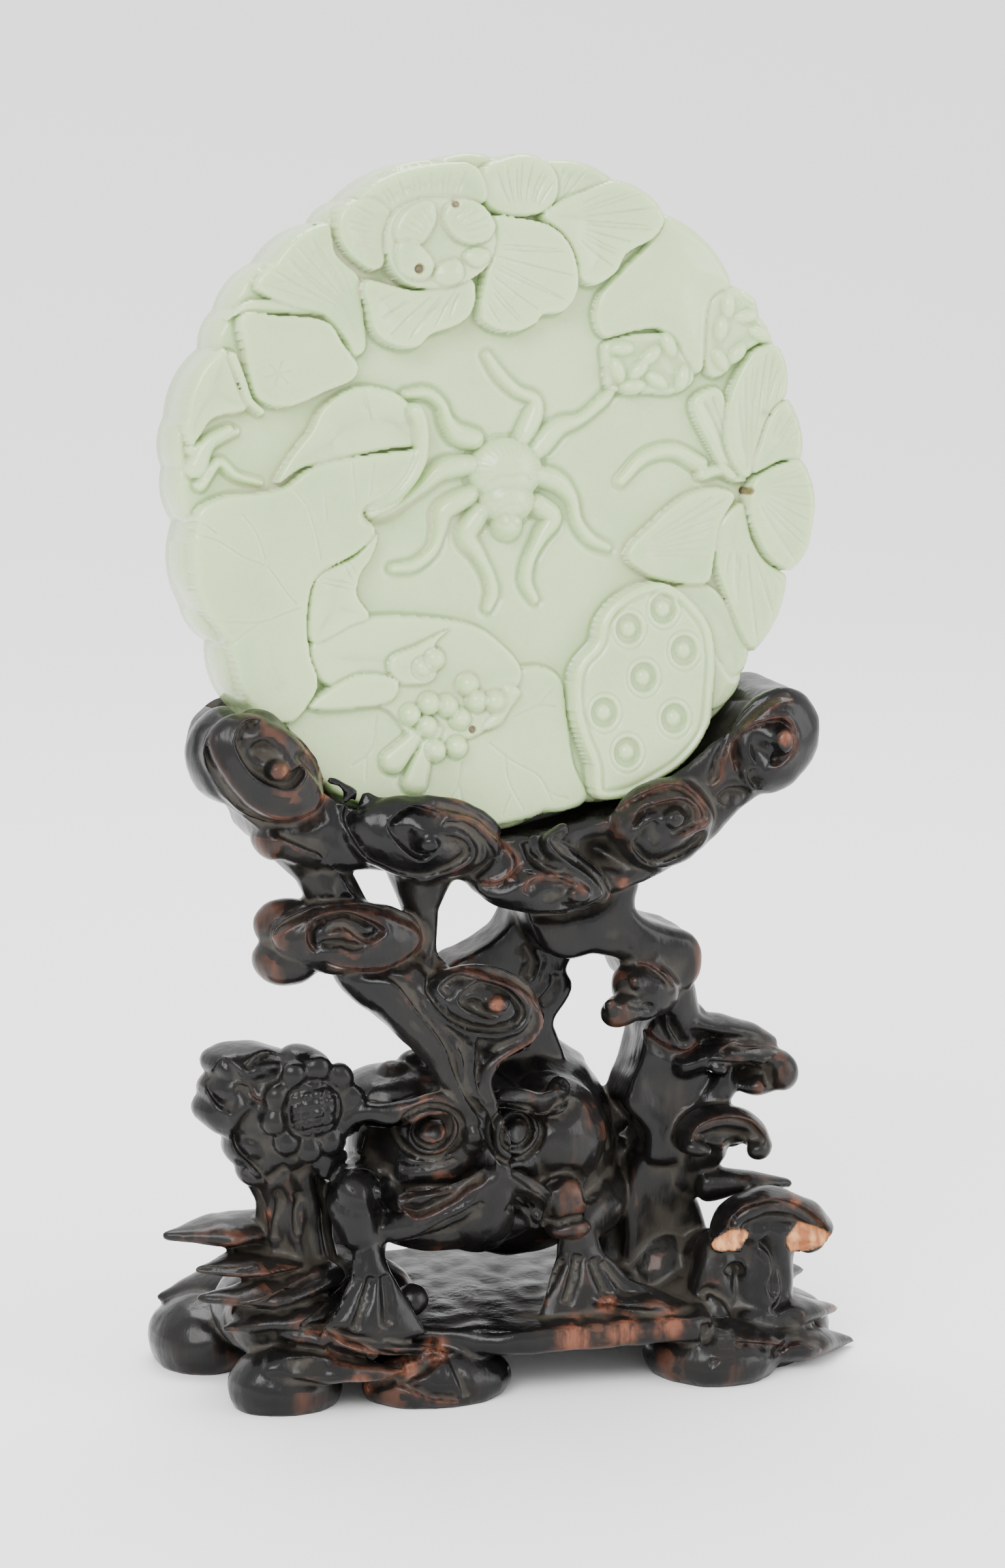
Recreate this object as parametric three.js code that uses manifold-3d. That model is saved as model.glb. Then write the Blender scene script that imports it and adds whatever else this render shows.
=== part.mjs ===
// Carved jade plaque resting in a carved hardwood stand.
// Millimetres, +Z up, the plaque faces -Y. Two pieces: jade_plaque and carved_stand.
import * as THREE from 'three';
import { mergeVertices } from 'three/addons/utils/BufferGeometryUtils.js';
import Module from 'manifold-3d';

const wasm = await Module();
wasm.setup();

// Driving dimensions of the plaque.
const plaqueThickness = 10;
const plaqueEdgeBevel = 1.2;
const plaqueLean = 6;
const plaqueCentre = [-1, -6, 109];
const reliefGround = -2.6;
const grooveGap = 0.35;
const grooveRadius = 42;
const grooveShift = -1.8;
const grooveFrontRoom = 4.4;

// How finely the facets follow the joined forms.
const flatness = 0.22;
const shortestEdge = 0.25;
const speck = 0.03;

// Driving dimensions of the stand.
const crownFront = -14;
const crownBack = 6;
const crownBevel = 2.4;
const deckBottom = 5.5;
const deckTop = 9;
const floorSize = 200;

// ---------------------------------------------------------------- solids

// A closed three.js geometry becomes a solid that can be joined and cut.
function solid(geometry) {
  const bare = geometry.clone();
  bare.deleteAttribute('normal');
  bare.deleteAttribute('uv');
  const merged = mergeVertices(bare, 1e-4);
  return new wasm.Manifold(new wasm.Mesh({
    numProp: 3,
    vertProperties: Float32Array.from(merged.attributes.position.array),
    triVerts: Uint32Array.from(merged.index.array),
  }));
}

function fuse(pieces) {
  return pieces.reduce((whole, piece) => whole.add(piece));
}

// Thins out the facets of a joined solid: one end of an edge is drawn onto the other wherever
// the surface stays closed, no facet turns over and nothing moves by more than flatness.
function thinned(body) {
  const { vertProperties, triVerts } = body.getMesh();
  const points = [];
  for (let i = 0; i < vertProperties.length; i += 3) {
    points.push(new THREE.Vector3(...vertProperties.slice(i, i + 3)));
  }
  const facets = [];
  const around = points.map(() => new Set());
  for (let i = 0; i < triVerts.length; i += 3) {
    const corners = [...triVerts.slice(i, i + 3)];
    corners.forEach((corner) => around[corner].add(facets.length));
    facets.push(corners);
  }
  const neighbours = (corner) => new Set([...around[corner]].flatMap((f) => facets[f]));
  const normalOf = (corners) => new THREE.Vector3().crossVectors(
    points[corners[1]].clone().sub(points[corners[0]]),
    points[corners[2]].clone().sub(points[corners[0]]),
  );

  // How far the surface moves if gone is drawn onto kept, or Infinity where it may not be.
  function cost(gone, kept) {
    const near = neighbours(kept);
    const shared = [...neighbours(gone)].filter((corner) => near.has(corner));
    if (shared.length !== 4) return Infinity;
    const length = points[gone].distanceTo(points[kept]);
    if (length < speck) return length * 0.001;
    const short = length < shortestEdge;
    let most = 0;
    for (const f of around[gone]) {
      const before = normalOf(facets[f]).normalize();
      const away = points[kept].clone().sub(points[gone]);
      most = Math.max(most, Math.abs(before.dot(away)));
      if (facets[f].includes(kept)) continue;
      const moved = facets[f].map((corner) => (corner === gone ? kept : corner));
      const after = normalOf(moved);
      const size = after.length();
      const longest = Math.max(...moved.map((corner, i) => points[corner].distanceTo(points[moved[(i + 1) % 3]])));
      if (size < 0.02 * longest * longest || before.dot(after) < (short ? 0.1 : 0.6) * size) return Infinity;
    }
    return short ? most * 0.01 : most;
  }

  let changed = true;
  while (changed) {
    changed = false;
    for (let gone = 0; gone < points.length; gone++) {
      if (around[gone].size === 0) continue;
      let [best, least] = [-1, flatness];
      for (const kept of neighbours(gone)) {
        if (kept === gone) continue;
        const move = cost(gone, kept);
        if (move < least) [best, least] = [kept, move];
      }
      if (best < 0) continue;
      for (const f of [...around[gone]]) {
        const corners = facets[f];
        corners.forEach((corner) => around[corner].delete(f));
        if (corners.includes(best)) continue;
        facets[f] = corners.map((corner) => (corner === gone ? best : corner));
        facets[f].forEach((corner) => around[corner].add(f));
      }
      around[gone].clear();
      changed = true;
    }
  }
  const kept = facets.filter((corners, f) => around[corners[0]].has(f));
  const positions = new Float32Array(points.flatMap((point) => point.toArray()));
  const geometry = new THREE.BufferGeometry();
  geometry.setAttribute('position', new THREE.BufferAttribute(positions, 3));
  geometry.setIndex(kept.flat());
  return geometry;
}

function asMesh(name, body, material) {
  const geometry = thinned(body);
  geometry.computeVertexNormals();
  const mesh = new THREE.Mesh(geometry, material);
  mesh.name = name;
  return mesh;
}

// An egg-shaped lump at [x, y, z], turned about Y by turn degrees.
function lump([x, y, z], [rx, ry, rz], turn = 0, across = 8, down = 5) {
  const geometry = new THREE.SphereGeometry(1, across, down);
  geometry.rotateX(Math.PI / 2);
  geometry.scale(rx, ry, rz);
  geometry.rotateY(THREE.MathUtils.degToRad(turn));
  geometry.translate(x, y, z);
  return solid(geometry);
}

// A round limb through stations [x, y, z, radius, radiusAlongRef].
function limb(stations, { sides = 6, steps = stations.length - 1, ref = [0, 1, 0] } = {}) {
  const path = new THREE.CatmullRomCurve3(stations.map(([x, y, z]) => new THREE.Vector3(x, y, z)));
  const reference = new THREE.Vector3(...ref);
  const geometry = new THREE.CylinderGeometry(1, 1, 1, sides, steps);
  const position = geometry.attributes.position;
  const last = stations.length - 1;
  for (let i = 0; i < position.count; i++) {
    const t = THREE.MathUtils.clamp(position.getY(i) + 0.5, 0, 1);
    const k = Math.min(Math.floor(t * last), last - 1);
    const blend = t * last - k;
    const from = stations[k];
    const to = stations[k + 1];
    const wide = THREE.MathUtils.lerp(from[3], to[3], blend);
    const deep = THREE.MathUtils.lerp(from[4] ?? from[3], to[4] ?? to[3], blend);
    const tangent = path.getTangent(t);
    const side = new THREE.Vector3().crossVectors(reference, tangent).normalize();
    const other = new THREE.Vector3().crossVectors(side, tangent);
    const point = path.getPoint(t);
    point.addScaledVector(side, position.getX(i) * wide);
    point.addScaledVector(other, position.getZ(i) * deep);
    position.setXYZ(i, point.x, point.y, point.z);
  }
  return solid(geometry);
}

function polygon(points) {
  return new THREE.Shape(points.map(([x, y]) => new THREE.Vector2(x, y)));
}

// A plate cut from an outline in X and Z, running from front to back along Y.
function uprightPlate(points, front, back, bevel) {
  const geometry = new THREE.ExtrudeGeometry(polygon(points), {
    depth: back - front - 2 * bevel,
    bevelThickness: bevel,
    bevelSize: bevel,
    bevelOffset: -bevel,
    bevelSegments: 1,
  });
  geometry.rotateX(Math.PI / 2);
  geometry.translate(0, back - bevel, 0);
  return solid(geometry);
}

// A plate cut from an outline in X and Y, from one height to another.
function levelPlate(points, low, high, bevel) {
  const geometry = new THREE.ExtrudeGeometry(polygon(points), {
    depth: high - low - 2 * bevel,
    bevelThickness: bevel,
    bevelSize: bevel,
    bevelOffset: -bevel,
    bevelSegments: 1,
  });
  geometry.translate(0, 0, low + bevel);
  return solid(geometry);
}

// ---------------------------------------------------------------- jade plaque
// Outlines lie in the plane of the plaque: [across, up], from its centre.

// The rim is a ring of shallow leaf lobes that meet at these notches.
const rimNotches = [
  [6.5, 39.5], [15, 37], [21, 33], [30, 24], [34, 19.5], [36.5, 10], [38, 2.5], [39, -6.5], [36, -11],
  [31, -21], [24.5, -30], [17.5, -36], [9, -38], [3.5, -39], [-4.5, -40.5], [-11.5, -40], [-18, -37.5],
  [-24, -34], [-29.5, -29.5], [-33, -24.5], [-35.5, -16.5], [-38.5, -12], [-39, -2], [-40, 4.5],
  [-39.5, 10.5], [-35, 18.5], [-33, 23], [-28, 28.5], [-21, 33], [-18, 35.5], [-6, 40], [0.5, 40],
];
const lobeBulge = 0.11;

function rimOutline() {
  const points = [];
  rimNotches.forEach((start, i) => {
    const end = rimNotches[(i + 1) % rimNotches.length];
    const chord = [end[0] - start[0], end[1] - start[1]];
    for (const t of [0, 1 / 3, 2 / 3]) {
      const rise = 4 * t * (1 - t) * lobeBulge;
      points.push([
        start[0] + chord[0] * t - chord[1] * rise,
        start[1] + chord[1] * t + chord[0] * rise,
      ]);
    }
  });
  return points;
}

// A raised form on the face, from inside the ground up to its own height.
function raised(points, top, bevel = 0.8, floor = reliefGround) {
  const geometry = new THREE.ExtrudeGeometry(polygon(points), {
    depth: top - floor - bevel + 1,
    bevelThickness: bevel,
    bevelSize: bevel,
    bevelOffset: -bevel,
    bevelSegments: 1,
  });
  geometry.translate(0, 0, floor - 1);
  return solid(geometry);
}

// A wavy ridge along points [across, up], thick at the root and thin at the tip.
function ridge(points, rootRadius, tipRadius, height = reliefGround + 0.4) {
  const last = points.length - 1;
  const stations = points.map(([x, y], i) => {
    const radius = THREE.MathUtils.lerp(rootRadius, tipRadius, i / last);
    return [x, y, height, radius, radius * 1.3];
  });
  return limb(stations, { sides: 4, steps: last * 2, ref: [0, 0, 1] });
}

// The two open lotus flowers: [outline, height of its top].
const flowerPetals = [
  [[[-17.5, 35.5], [-13.5, 38], [-8.5, 39.5], [-4, 39.5], [-2, 37.5], [-2, 34.5], [-10, 34], [-14, 33]], 0.2],
  [[[-13.5, 33.5], [-16.5, 35.5], [-19.5, 34.5], [-20, 32], [-19, 29], [-16, 27], [-14, 28]], 0],
  [[[-20, 32.5], [-25, 31], [-27.5, 28.5], [-30, 25.5], [-26, 23], [-22, 21.5], [-18.5, 17], [-17, 19],
    [-17.5, 26]], -0.8],
  [[[-17, 25.5], [-16.5, 21.5], [-15, 18.5], [-11, 17.5], [-9, 19.5], [-5, 21], [-3.5, 23.5], [-5, 26],
    [-10.5, 25]], 0.5],
  [[[-2.5, 26], [-3, 21.5], [-1, 19.5], [2, 19.5], [5, 21], [8, 22], [9.5, 25], [9, 28.5], [6, 31.5],
    [2, 32.5], [-1, 32.5]], 0.4],
  [[[-1.5, 34.5], [-1.5, 38], [1, 40], [4, 40.5], [6, 39.5], [7.5, 37], [7, 34], [4, 33]], 0],
  [[[7.5, 37.5], [7, 39.5], [10, 39.5], [13, 39], [15, 37], [11, 35]], -0.7],
  [[[14.5, 37], [18, 37], [20, 35.5], [21, 32.5], [19, 29.5], [16, 28], [14, 25.5], [11, 24.5], [9.5, 27.5],
    [6, 32.5], [9, 35]], 0],
  [[[31, -1.5], [31.5, -5.5], [33.5, -9.5], [36, -11], [38.5, -10], [39, -6], [40, -3], [39.5, 1], [38, 2.5],
    [35, 2]], 0.2],
  [[[27.5, -5], [27, -10], [28.5, -15], [31, -20.5], [34.5, -19], [36.5, -15], [35.5, -11], [31.5, -6],
    [30, -2.5]], -0.6],
  [[[15.5, -8], [19, -4.5], [23, -1.5], [27, -0.5], [29.5, -2], [27.5, -5.5], [26, -11.5], [21, -11.5]], -0.5],
  [[[24.5, 10], [26, 11.5], [28, 11], [30, 3], [30.5, 0.5], [28.5, 1], [26, 5]], -0.8],
  [[[30, 1], [28.5, 5], [29, 10.5], [31, 14.5], [33.5, 16.5], [36, 15.5], [36.5, 11], [34, 8], [32, 3]], -0.4],
  [[[31.5, 1.5], [32.5, 5], [34.5, 8.5], [36.5, 10], [39, 9], [39, 4], [38, 2.5]], 0],
];

// Leaves, buds and the smooth closed petals that fill the field round the flowers.
const leafForms = [
  [[[-32, 22], [-27.5, 22], [-22, 21], [-18.5, 16], [-19.5, 14], [-25, 12], [-30.5, 12.5], [-32, 18]], 0],
  [[[-34.5, 18], [-37, 16], [-39, 12], [-39.5, 9], [-38, 7.5], [-35.5, 10.5], [-32, 11], [-33, 15]], -0.8],
  [[[-18.5, 13], [-15, 13], [-11.5, 11], [-11, 7.5], [-14.5, 5.5], [-21, 4], [-28, 2.5], [-26, 6],
    [-22.5, 11]], -0.6],
  [[[-39, -2], [-35.5, 0.5], [-28.5, 1.5], [-24, 4], [-13, 5.5], [-11, 4], [-14.5, -0.5], [-17, -3],
    [-19.5, -6.5], [-24, -9], [-25.5, -13], [-25, -18], [-26.5, -24], [-31, -27], [-35, -17],
    [-38, -12]], 0.2],
  [[[-24, -9], [-19.5, -6.5], [-16.5, -4], [-18.5, -9], [-18, -14], [-24.5, -16.5], [-25.5, -12.5]], -0.5],
  [[[-25, -17], [-19.5, -14.5], [-13.5, -14.5], [-5.5, -15.5], [-1, -18.5], [1, -21.5], [-1, -26],
    [-5, -28.5], [-12, -30], [-20, -26], [-24, -21.5]], -0.4],
  [[[-28.5, -27], [-26, -23], [-16, -24], [-8, -28], [-2.5, -27.5], [1, -21.5], [5.5, -22.5], [7, -30],
    [9, -37.5], [3.5, -39], [-4.5, -40], [-11, -39.5], [-17.5, -37], [-24, -33.5]], -0.9],
  [[[-25.5, -24.5], [-22, -21.5], [-16, -21], [-14.5, -23], [-19, -25]], 0.4],
  [[[21, 32.5], [24.5, 32], [28, 28.5], [29.5, 24.5], [27, 22], [25, 14.5], [20, 19], [13.5, 18.5],
    [12, 21], [13, 24], [19, 29]], -0.4],
  [[[13.5, 17], [17.5, 18.5], [21.5, 18], [24.5, 13], [21.5, 11.5], [13.5, 12]], -0.9],
  [[[30, 24], [32, 24], [34, 22], [34.5, 18.5], [31, 16], [28, 13], [26, 14], [26.5, 21.5]], -0.8],
  [[[26, -17.5], [28.5, -20], [30, -22], [28, -26.5], [25.5, -27]], -1.2],
];

const podOutline = [
  [16.5, -12], [13, -13.5], [11, -16], [10, -19], [8, -21.5], [7, -25], [8, -30], [9.5, -33.5], [10, -37],
  [13.5, -38], [17.5, -36], [21, -33.5], [24.5, -30], [25.5, -24], [25, -17.5], [22.5, -13.5], [19.5, -12],
];
const podTop = 0.6;
const seedPlaces = [[19, -15], [14.5, -17], [21.5, -20], [16, -23], [11, -27], [20, -28], [13.5, -32]];

// The eight legs of the spider, each from the body outward.
const spiderLegs = [
  [[-3, 6], [-6.5, 8.5], [-8, 11.5], [-11.5, 12.5]],
  [[-4, 3], [-9, 2.5], [-13.5, -1], [-17.5, -2]],
  [[-3.5, 0], [-7.5, -2.5], [-9.5, -6.5], [-14, -8.5]],
  [[-2, -2], [-4.5, -5], [-2, -10], [-2.5, -14]],
  [[2.5, 6], [4.5, 10], [1, 13], [-1.5, 16.5]],
  [[4, 4.5], [8, 8], [12, 9.5], [14.5, 12]],
  [[4, 2], [8, 0], [10, -5], [13, -7.5]],
  [[3, -2], [5.5, -4.5], [3, -8.5], [3.5, -13]],
];

function reliefLump([x, y], [rx, ry, rz], height) {
  const geometry = new THREE.SphereGeometry(1, 7, 4);
  geometry.rotateX(Math.PI / 2);
  geometry.scale(rx, ry, rz);
  geometry.translate(x, y, height);
  return solid(geometry);
}

// A seed: a round pit in the pod's flat face, with a small boss standing in it.
function seedPit([x, y]) {
  const geometry = new THREE.CylinderGeometry(1.9, 1.5, 1.6, 8);
  geometry.rotateX(Math.PI / 2);
  geometry.translate(x, y, podTop);
  return solid(geometry);
}

function buildPlaque() {
  const disc = new THREE.ExtrudeGeometry(polygon(rimOutline()), {
    depth: plaqueThickness - 2 * plaqueEdgeBevel,
    bevelThickness: plaqueEdgeBevel,
    bevelSize: plaqueEdgeBevel,
    bevelOffset: -plaqueEdgeBevel,
    bevelSegments: 1,
  });
  disc.translate(0, 0, reliefGround - plaqueThickness + plaqueEdgeBevel);
  const pieces = [solid(disc)];
  for (const [outline, top] of [...flowerPetals, ...leafForms]) {
    pieces.push(raised(outline.toReversed(), top));
  }
  pieces.push(seedPlaces.reduce((pod, place) => pod.subtract(seedPit(place)), raised(podOutline, podTop)));
  for (const place of seedPlaces) {
    pieces.push(reliefLump(place, [0.9, 0.9, 0.9], podTop - 0.8));
  }
  for (const leg of spiderLegs) {
    pieces.push(ridge(leg, 1.3, 0.6));
  }
  pieces.push(reliefLump([0.5, 3.2], [4.6, 4, 3], reliefGround));
  pieces.push(reliefLump([0.5, -1], [3.3, 2.6, 2.8], reliefGround));
  pieces.push(reliefLump([0.3, -4], [2, 2.1, 2.5], reliefGround));
  // The rolled heart of the upper flower, the curled leaf edge and the berries.
  pieces.push(reliefLump([-8, 30], [6.6, 5.2, 3.6], reliefGround + 0.6));
  pieces.push(ridge([[-11.5, 11], [-10.8, 7], [-12, 3], [-15, -0.5], [-18, -1.7]], 1.2, 0.8, 0));
  pieces.push(ridge([[15, 0.5], [18, 3.2], [21.5, 4], [24.5, 2.5]], 0.8, 1.4));
  for (const place of [[-13, -26], [-10.5, -30], [-7, -30], [-6.5, -26.5], [-9.5, -27.5], [-6, -23]]) {
    pieces.push(reliefLump(place, [1.6, 1.6, 1.2], 0));
  }
  return fuse(pieces);
}

// ---------------------------------------------------------------- carved stand

// A cloud scroll: a flat lump with a raised spiral that winds in to a boss.
function scroll([x, y, z], [rx, ry, rz], { turns = 1.4, start = 0, hand = 1, tilt = 0 } = {}) {
  const stations = [];
  const count = 9;
  for (let i = 0; i < count; i++) {
    const t = i / (count - 1);
    const angle = THREE.MathUtils.degToRad(start + hand * 360 * turns * t);
    const reach = THREE.MathUtils.lerp(0.86, 0.12, t);
    const [a, b] = [Math.cos(angle) * rx * reach, Math.sin(angle) * rz * reach];
    const slope = THREE.MathUtils.degToRad(tilt);
    const width = THREE.MathUtils.lerp(1.3, 0.9, t);
    stations.push([
      x + a * Math.cos(slope) - b * Math.sin(slope),
      y - ry * Math.sqrt(1 - reach * reach) - 0.2,
      z + a * Math.sin(slope) + b * Math.cos(slope),
      width,
      width * 1.2,
    ]);
  }
  return lump([x, y, z], [rx, ry, rz], -tilt, 8, 4).add(limb(stations, { sides: 4 }));
}

// The haunch under the right of the crown, over the arch beside the toad.
const haunchOutline = [
  [-1, 63], [14, 63], [14.5, 57.5], [17, 55.5], [22, 53.5], [23.5, 50], [21, 46.5], [15.5, 47], [13, 50.5],
  [9.5, 52], [6, 51], [2, 48], [-1, 56],
];

// The crown: its front outline in X and Z, before the groove is cut.
const crownOutline = [
  [-34, 84.5], [-30.5, 83.5], [-27, 80], [-21, 75.5], [-14, 73], [-7, 71], [0, 70], [7, 70.8], [14, 73],
  [21, 77], [26, 80.5], [31, 83.5], [35, 83.5], [37, 80.5], [36, 75.5], [32.5, 72.5], [27.5, 70], [23.5, 66],
  [17.5, 62.5], [9, 59.5], [3, 59], [-4.5, 61], [-9, 63], [-20, 65], [-27, 65.5], [-32.5, 68], [-34, 71],
  [-38, 74.5], [-39, 78.5], [-37.5, 82.5],
];

const backCloudOutline = [
  [-9, 47], [-7.6, 50.6], [-4, 52.2], [-0.5, 54.6], [1, 57.5], [1, 61], [8, 61], [9, 55], [8.4, 51],
  [7.6, 49], [8.5, 47], [7.4, 44.5], [6, 42], [7, 36], [-8, 36],
];

const pillarTop = [
  [17.8, 42.5], [16.8, 39.5], [16, 36.5], [14.8, 33.8], [14.3, 32], [15.5, 30], [17.2, 27.8], [17.5, 24],
  [25, 24], [25.5, 28], [24.5, 31], [25.5, 34], [25.2, 38], [25.5, 42], [23, 44.5],
];

const pillarFoot = [
  [18.8, 27], [16.8, 25.2], [15.4, 22.5], [14.6, 18], [14.4, 12], [14, 6], [26, 6], [26, 12], [25, 17],
  [22.5, 23], [21, 27],
];

// The groove is one plain arc that the lobes of the rim stand in.
function grooveCutter() {
  const depth = plaqueThickness + grooveFrontRoom + 2 * grooveGap;
  const geometry = new THREE.CylinderGeometry(grooveRadius, grooveRadius, depth, 44);
  geometry.rotateX(Math.PI / 2);
  geometry.translate(grooveShift, 0, reliefGround - plaqueThickness - grooveGap + depth / 2);
  return geometry;
}

function placePlaque(geometry) {
  geometry.rotateX(THREE.MathUtils.degToRad(90 - plaqueLean));
  geometry.translate(...plaqueCentre);
  return geometry;
}

function buildCrown() {
  return fuse([
    uprightPlate(crownOutline, crownFront, crownBack, crownBevel),
    scroll([-32, -13.5, 78.5], [6.6, 3, 5.4], { start: 150, hand: -1, tilt: -40 }),
    scroll([-13.5, -13.5, 69], [9.5, 3.2, 4.9], { start: 170, hand: -1, tilt: 0 }),
    scroll([4, -12.5, 61.5], [7, 3, 3.2], { start: 150, hand: -1, turns: 1.1 }),
    scroll([17.5, -13, 69], [5.2, 3, 5.8], { start: 200, hand: 1 }),
    scroll([31.8, -12, 78], [5.6, 3, 6], { start: 200, hand: 1 }),
    limb([[8.5, -13, 60.5, 1.4], [5, -14, 65, 1.4], [2, -14, 67.5, 1.3], [5.5, -14, 69, 0.8]]),
    uprightPlate(haunchOutline, -10, 3, 2),
  ]);
}

// The cloud stems that climb from the mouth of the toad to the crown.
function buildClouds() {
  return fuse([
    limb([[-7, -15, 27, 1.6], [-8, -16, 36, 2.2], [-9, -15, 42, 3.4], [-14, -12, 49, 4.2],
      [-20, -11, 53, 4.4], [-22.5, -9, 61.5, 3.3], [-26, -7, 69, 6]]),
    lump([-27, -10, 54.2], [5.6, 4, 3.4]),
    lump([-17, -9, 57.5], [4, 4, 3]),
    limb([[-11, -12, 46, 3.6], [-12.6, -8, 54, 2.6], [-11.5, -6, 60, 3.4], [-9, -5, 67, 5]]),
    scroll([-23, -11, 56], [9.6, 4, 5.6], { start: 10, hand: 1, tilt: -12 }),
    scroll([-7.5, -15.5, 49.5], [7.6, 3, 4.6], { start: 200, hand: 1, tilt: -6 }),
    limb([[-1.5, -16, 47, 1.4], [-6, -17, 43.5, 1.2], [-8.2, -17, 39, 1], [-8, -17, 34, 1], [-7.5, -17, 28, 1]]),
    uprightPlate(backCloudOutline, -3, 4.5, 1.8),
  ]);
}

// The toad crouches with its mouth open and breathes out the clouds.
function buildToad() {
  const eyeRings = [[-13.5, -15.2, 32.5], [-2.5, -15.2, 32]].flatMap(([x, y, z]) => [
    lump([x, y + 0.8, z], [3, 1.8, 2.7]),
    lump([x, y - 0.4, z], [1.7, 1.6, 1.7]),
  ]);
  const warts = [[-17.5, -7, 36.2], [-14, -6, 38], [15.8, 3, 27], [16, 3, 22.5], [12, 10, 33.5], [8, 17, 33]];
  return fuse([
    lump([2, 5, 26], [13.5, 16.5, 14.5], 0, 10, 7),
    lump([-7, -5, 28.5], [14, 11.5, 10.5], 8, 8, 6),
    lump([-8, -7, 20.5], [12, 9.5, 4.6], 12, 8, 5),
    ...eyeRings,
    limb([[-20, -11, 33, 1.3], [-16, -14, 36, 1.6], [-11, -15, 36.5, 1.6], [-8.5, -16, 33, 1.2]]),
    limb([[-6.5, -16, 34, 1.2], [-4, -15, 36.5, 1.6], [1, -13, 35.5, 1.6], [5, -9, 34.5, 1.4]]),
    limb([[-19, -13, 24.5, 1.2], [-13, -16.5, 26.5, 1.2], [-7, -18, 29, 1.3], [-1.5, -15.5, 26, 1.2],
      [3, -11, 21.5, 1]]),
    limb([[-21, -11, 21, 1.6], [-15, -16.5, 21.8, 1.8], [-8, -18, 25.5, 1.4], [-2.5, -16, 23.5, 1.8],
      [2.5, -12, 20, 1.4]]),
    ...warts.map((place) => lump(place, [2.2, 2.2, 2], 0, 6, 4)),
    // Forelegs, fists and the webbed feet that spread on the deck.
    limb([[-14, -3, 24, 6], [-21, -9, 24, 4.6], [-24, -12, 21.5, 3.2], [-21.5, -14, 18.5, 2.6]]),
    limb([[-21.5, -13, 19, 2.2, 2], [-21, -15, 14, 3.6, 1.8], [-20.5, -17, 8.5, 5.6, 1.6]]),
    lump([4.5, -12, 21.5], [3.4, 3.2, 3.4]),
    limb([[11, -1, 20, 5], [10, -7, 18.5, 3.6], [6.5, -10, 15, 3, 2.4], [6.5, -13, 7.5, 7.5, 2]]),
    limb([[11, 8, 24, 7], [16, 6, 17, 5.5], [13, 0, 9, 5], [14, -4, 7, 4]]),
    limb([[-8, 14, 20, 7], [-15, 15, 15, 5.5], [-18, 10, 9, 5], [-20, 4, 8, 4]]),
    lump([-16, -12, 10.6], [2.2, 2.2, 2.2]),
  ]);
}

// A lotus on its trunk, turned to face front and right.
function buildLotus() {
  const petals = [];
  for (let k = 0; k < 9; k++) {
    const angle = (k / 9) * Math.PI * 2;
    const out = new THREE.Vector3(Math.cos(angle) * 5, 0, Math.sin(angle) * 5);
    out.applyAxisAngle(new THREE.Vector3(0, 0, 1), THREE.MathUtils.degToRad(12));
    petals.push(lump([-27.5 + out.x, -11 + out.y, 36 + out.z], [2.2, 1.6, 2.2], 0, 6, 4));
  }
  return fuse([
    limb([[-27, -3, 8, 6], [-28, -4, 18, 4.8], [-29, -5, 26, 4.6], [-32, -6, 33, 6], [-34, -6, 39, 5]]),
    lump([-34, -6, 37.5], [6.4, 5.6, 5.6], 0, 8, 6),
    lump([-29.5, -8.5, 36.5], [6.2, 3.6, 6]),
    lump([-27.5, -11.5, 36], [3.3, 2, 3.3]),
    ...petals,
    lump([-34.2, -5.8, 41.2], [5.9, 5.2, 2.5], 6, 6, 4),
    lump([-36.2, -5.6, 35.2], [5, 4.8, 2.9], 14, 6, 4),
    lump([-34.2, -6.4, 30.4], [3, 4, 4], 40, 6, 4),
    lump([-25, -10, 29], [2.2, 2, 2], 0, 6, 4),
  ]);
}

// A fungus cap seen from the front: a bent roll that ends in two knobs.
function fungus([x, y, z], [reach, height], thickness) {
  return fuse([
    limb([[x - reach, y, z, thickness], [x - reach * 0.6, y, z + height, thickness * 1.1],
      [x, y + 1, z + height * 1.35, thickness * 1.3], [x + reach * 0.6, y, z + height, thickness * 1.1],
      [x + reach, y, z, thickness]]),
    lump([x, y + 2.5, z + height * 0.7], [reach * 0.9, 3.4, height * 0.9]),
  ]);
}

// The fungus pillar on the right, with a small beast's head under the crown.
function buildPillar() {
  return fuse([
    uprightPlate(pillarTop, -6, 3.5, 1.4),
    uprightPlate(pillarFoot, -5, 6, 1.4),
    limb([[21.5, -3, 38, 3.4], [21.4, -5, 42, 2.8], [20, -6, 46, 3]]),
    lump([20, 0, 9], [6.5, 8.5, 7], 0, 6, 5),
    lump([17, -7, 47.5], [5, 4.6, 3.8], 25),
    lump([12, -10, 44.8], [2.7, 2.7, 2.5], 0, 6, 5),
    lump([19, -6, 50.5], [4.2, 4.2, 2.6], -15),
    fungus([30.8, -5, 34.8], [5.4, 2.2], 2.2),
    lump([28, -3, 39.8], [6.5, 4.5, 1.7], 18),
    fungus([26.3, -8.5, 26.2], [4.3, 2.4], 1.9),
    limb([[23, -3, 23, 3], [26, -6, 27, 2.6]]),
    limb([[24, -3, 36, 3], [28, -4, 36, 2.6]]),
    limb([[25, -6, 20, 2.4], [30, -7, 21, 1.4], [35.5, -7, 21.8, 0.6]]),
    limb([[28, -12, 2, 6], [28.5, -12, 8, 4.6], [29.5, -12, 14, 4.4], [30.5, -12, 17, 4]]),
    fungus([31, -13.5, 15.5], [6.2, 3.6], 1.8),
    limb([[22, -2, 8, 4], [26, -8, 12, 4], [28, -11, 14, 3.6]]),
  ]);
}

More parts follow.
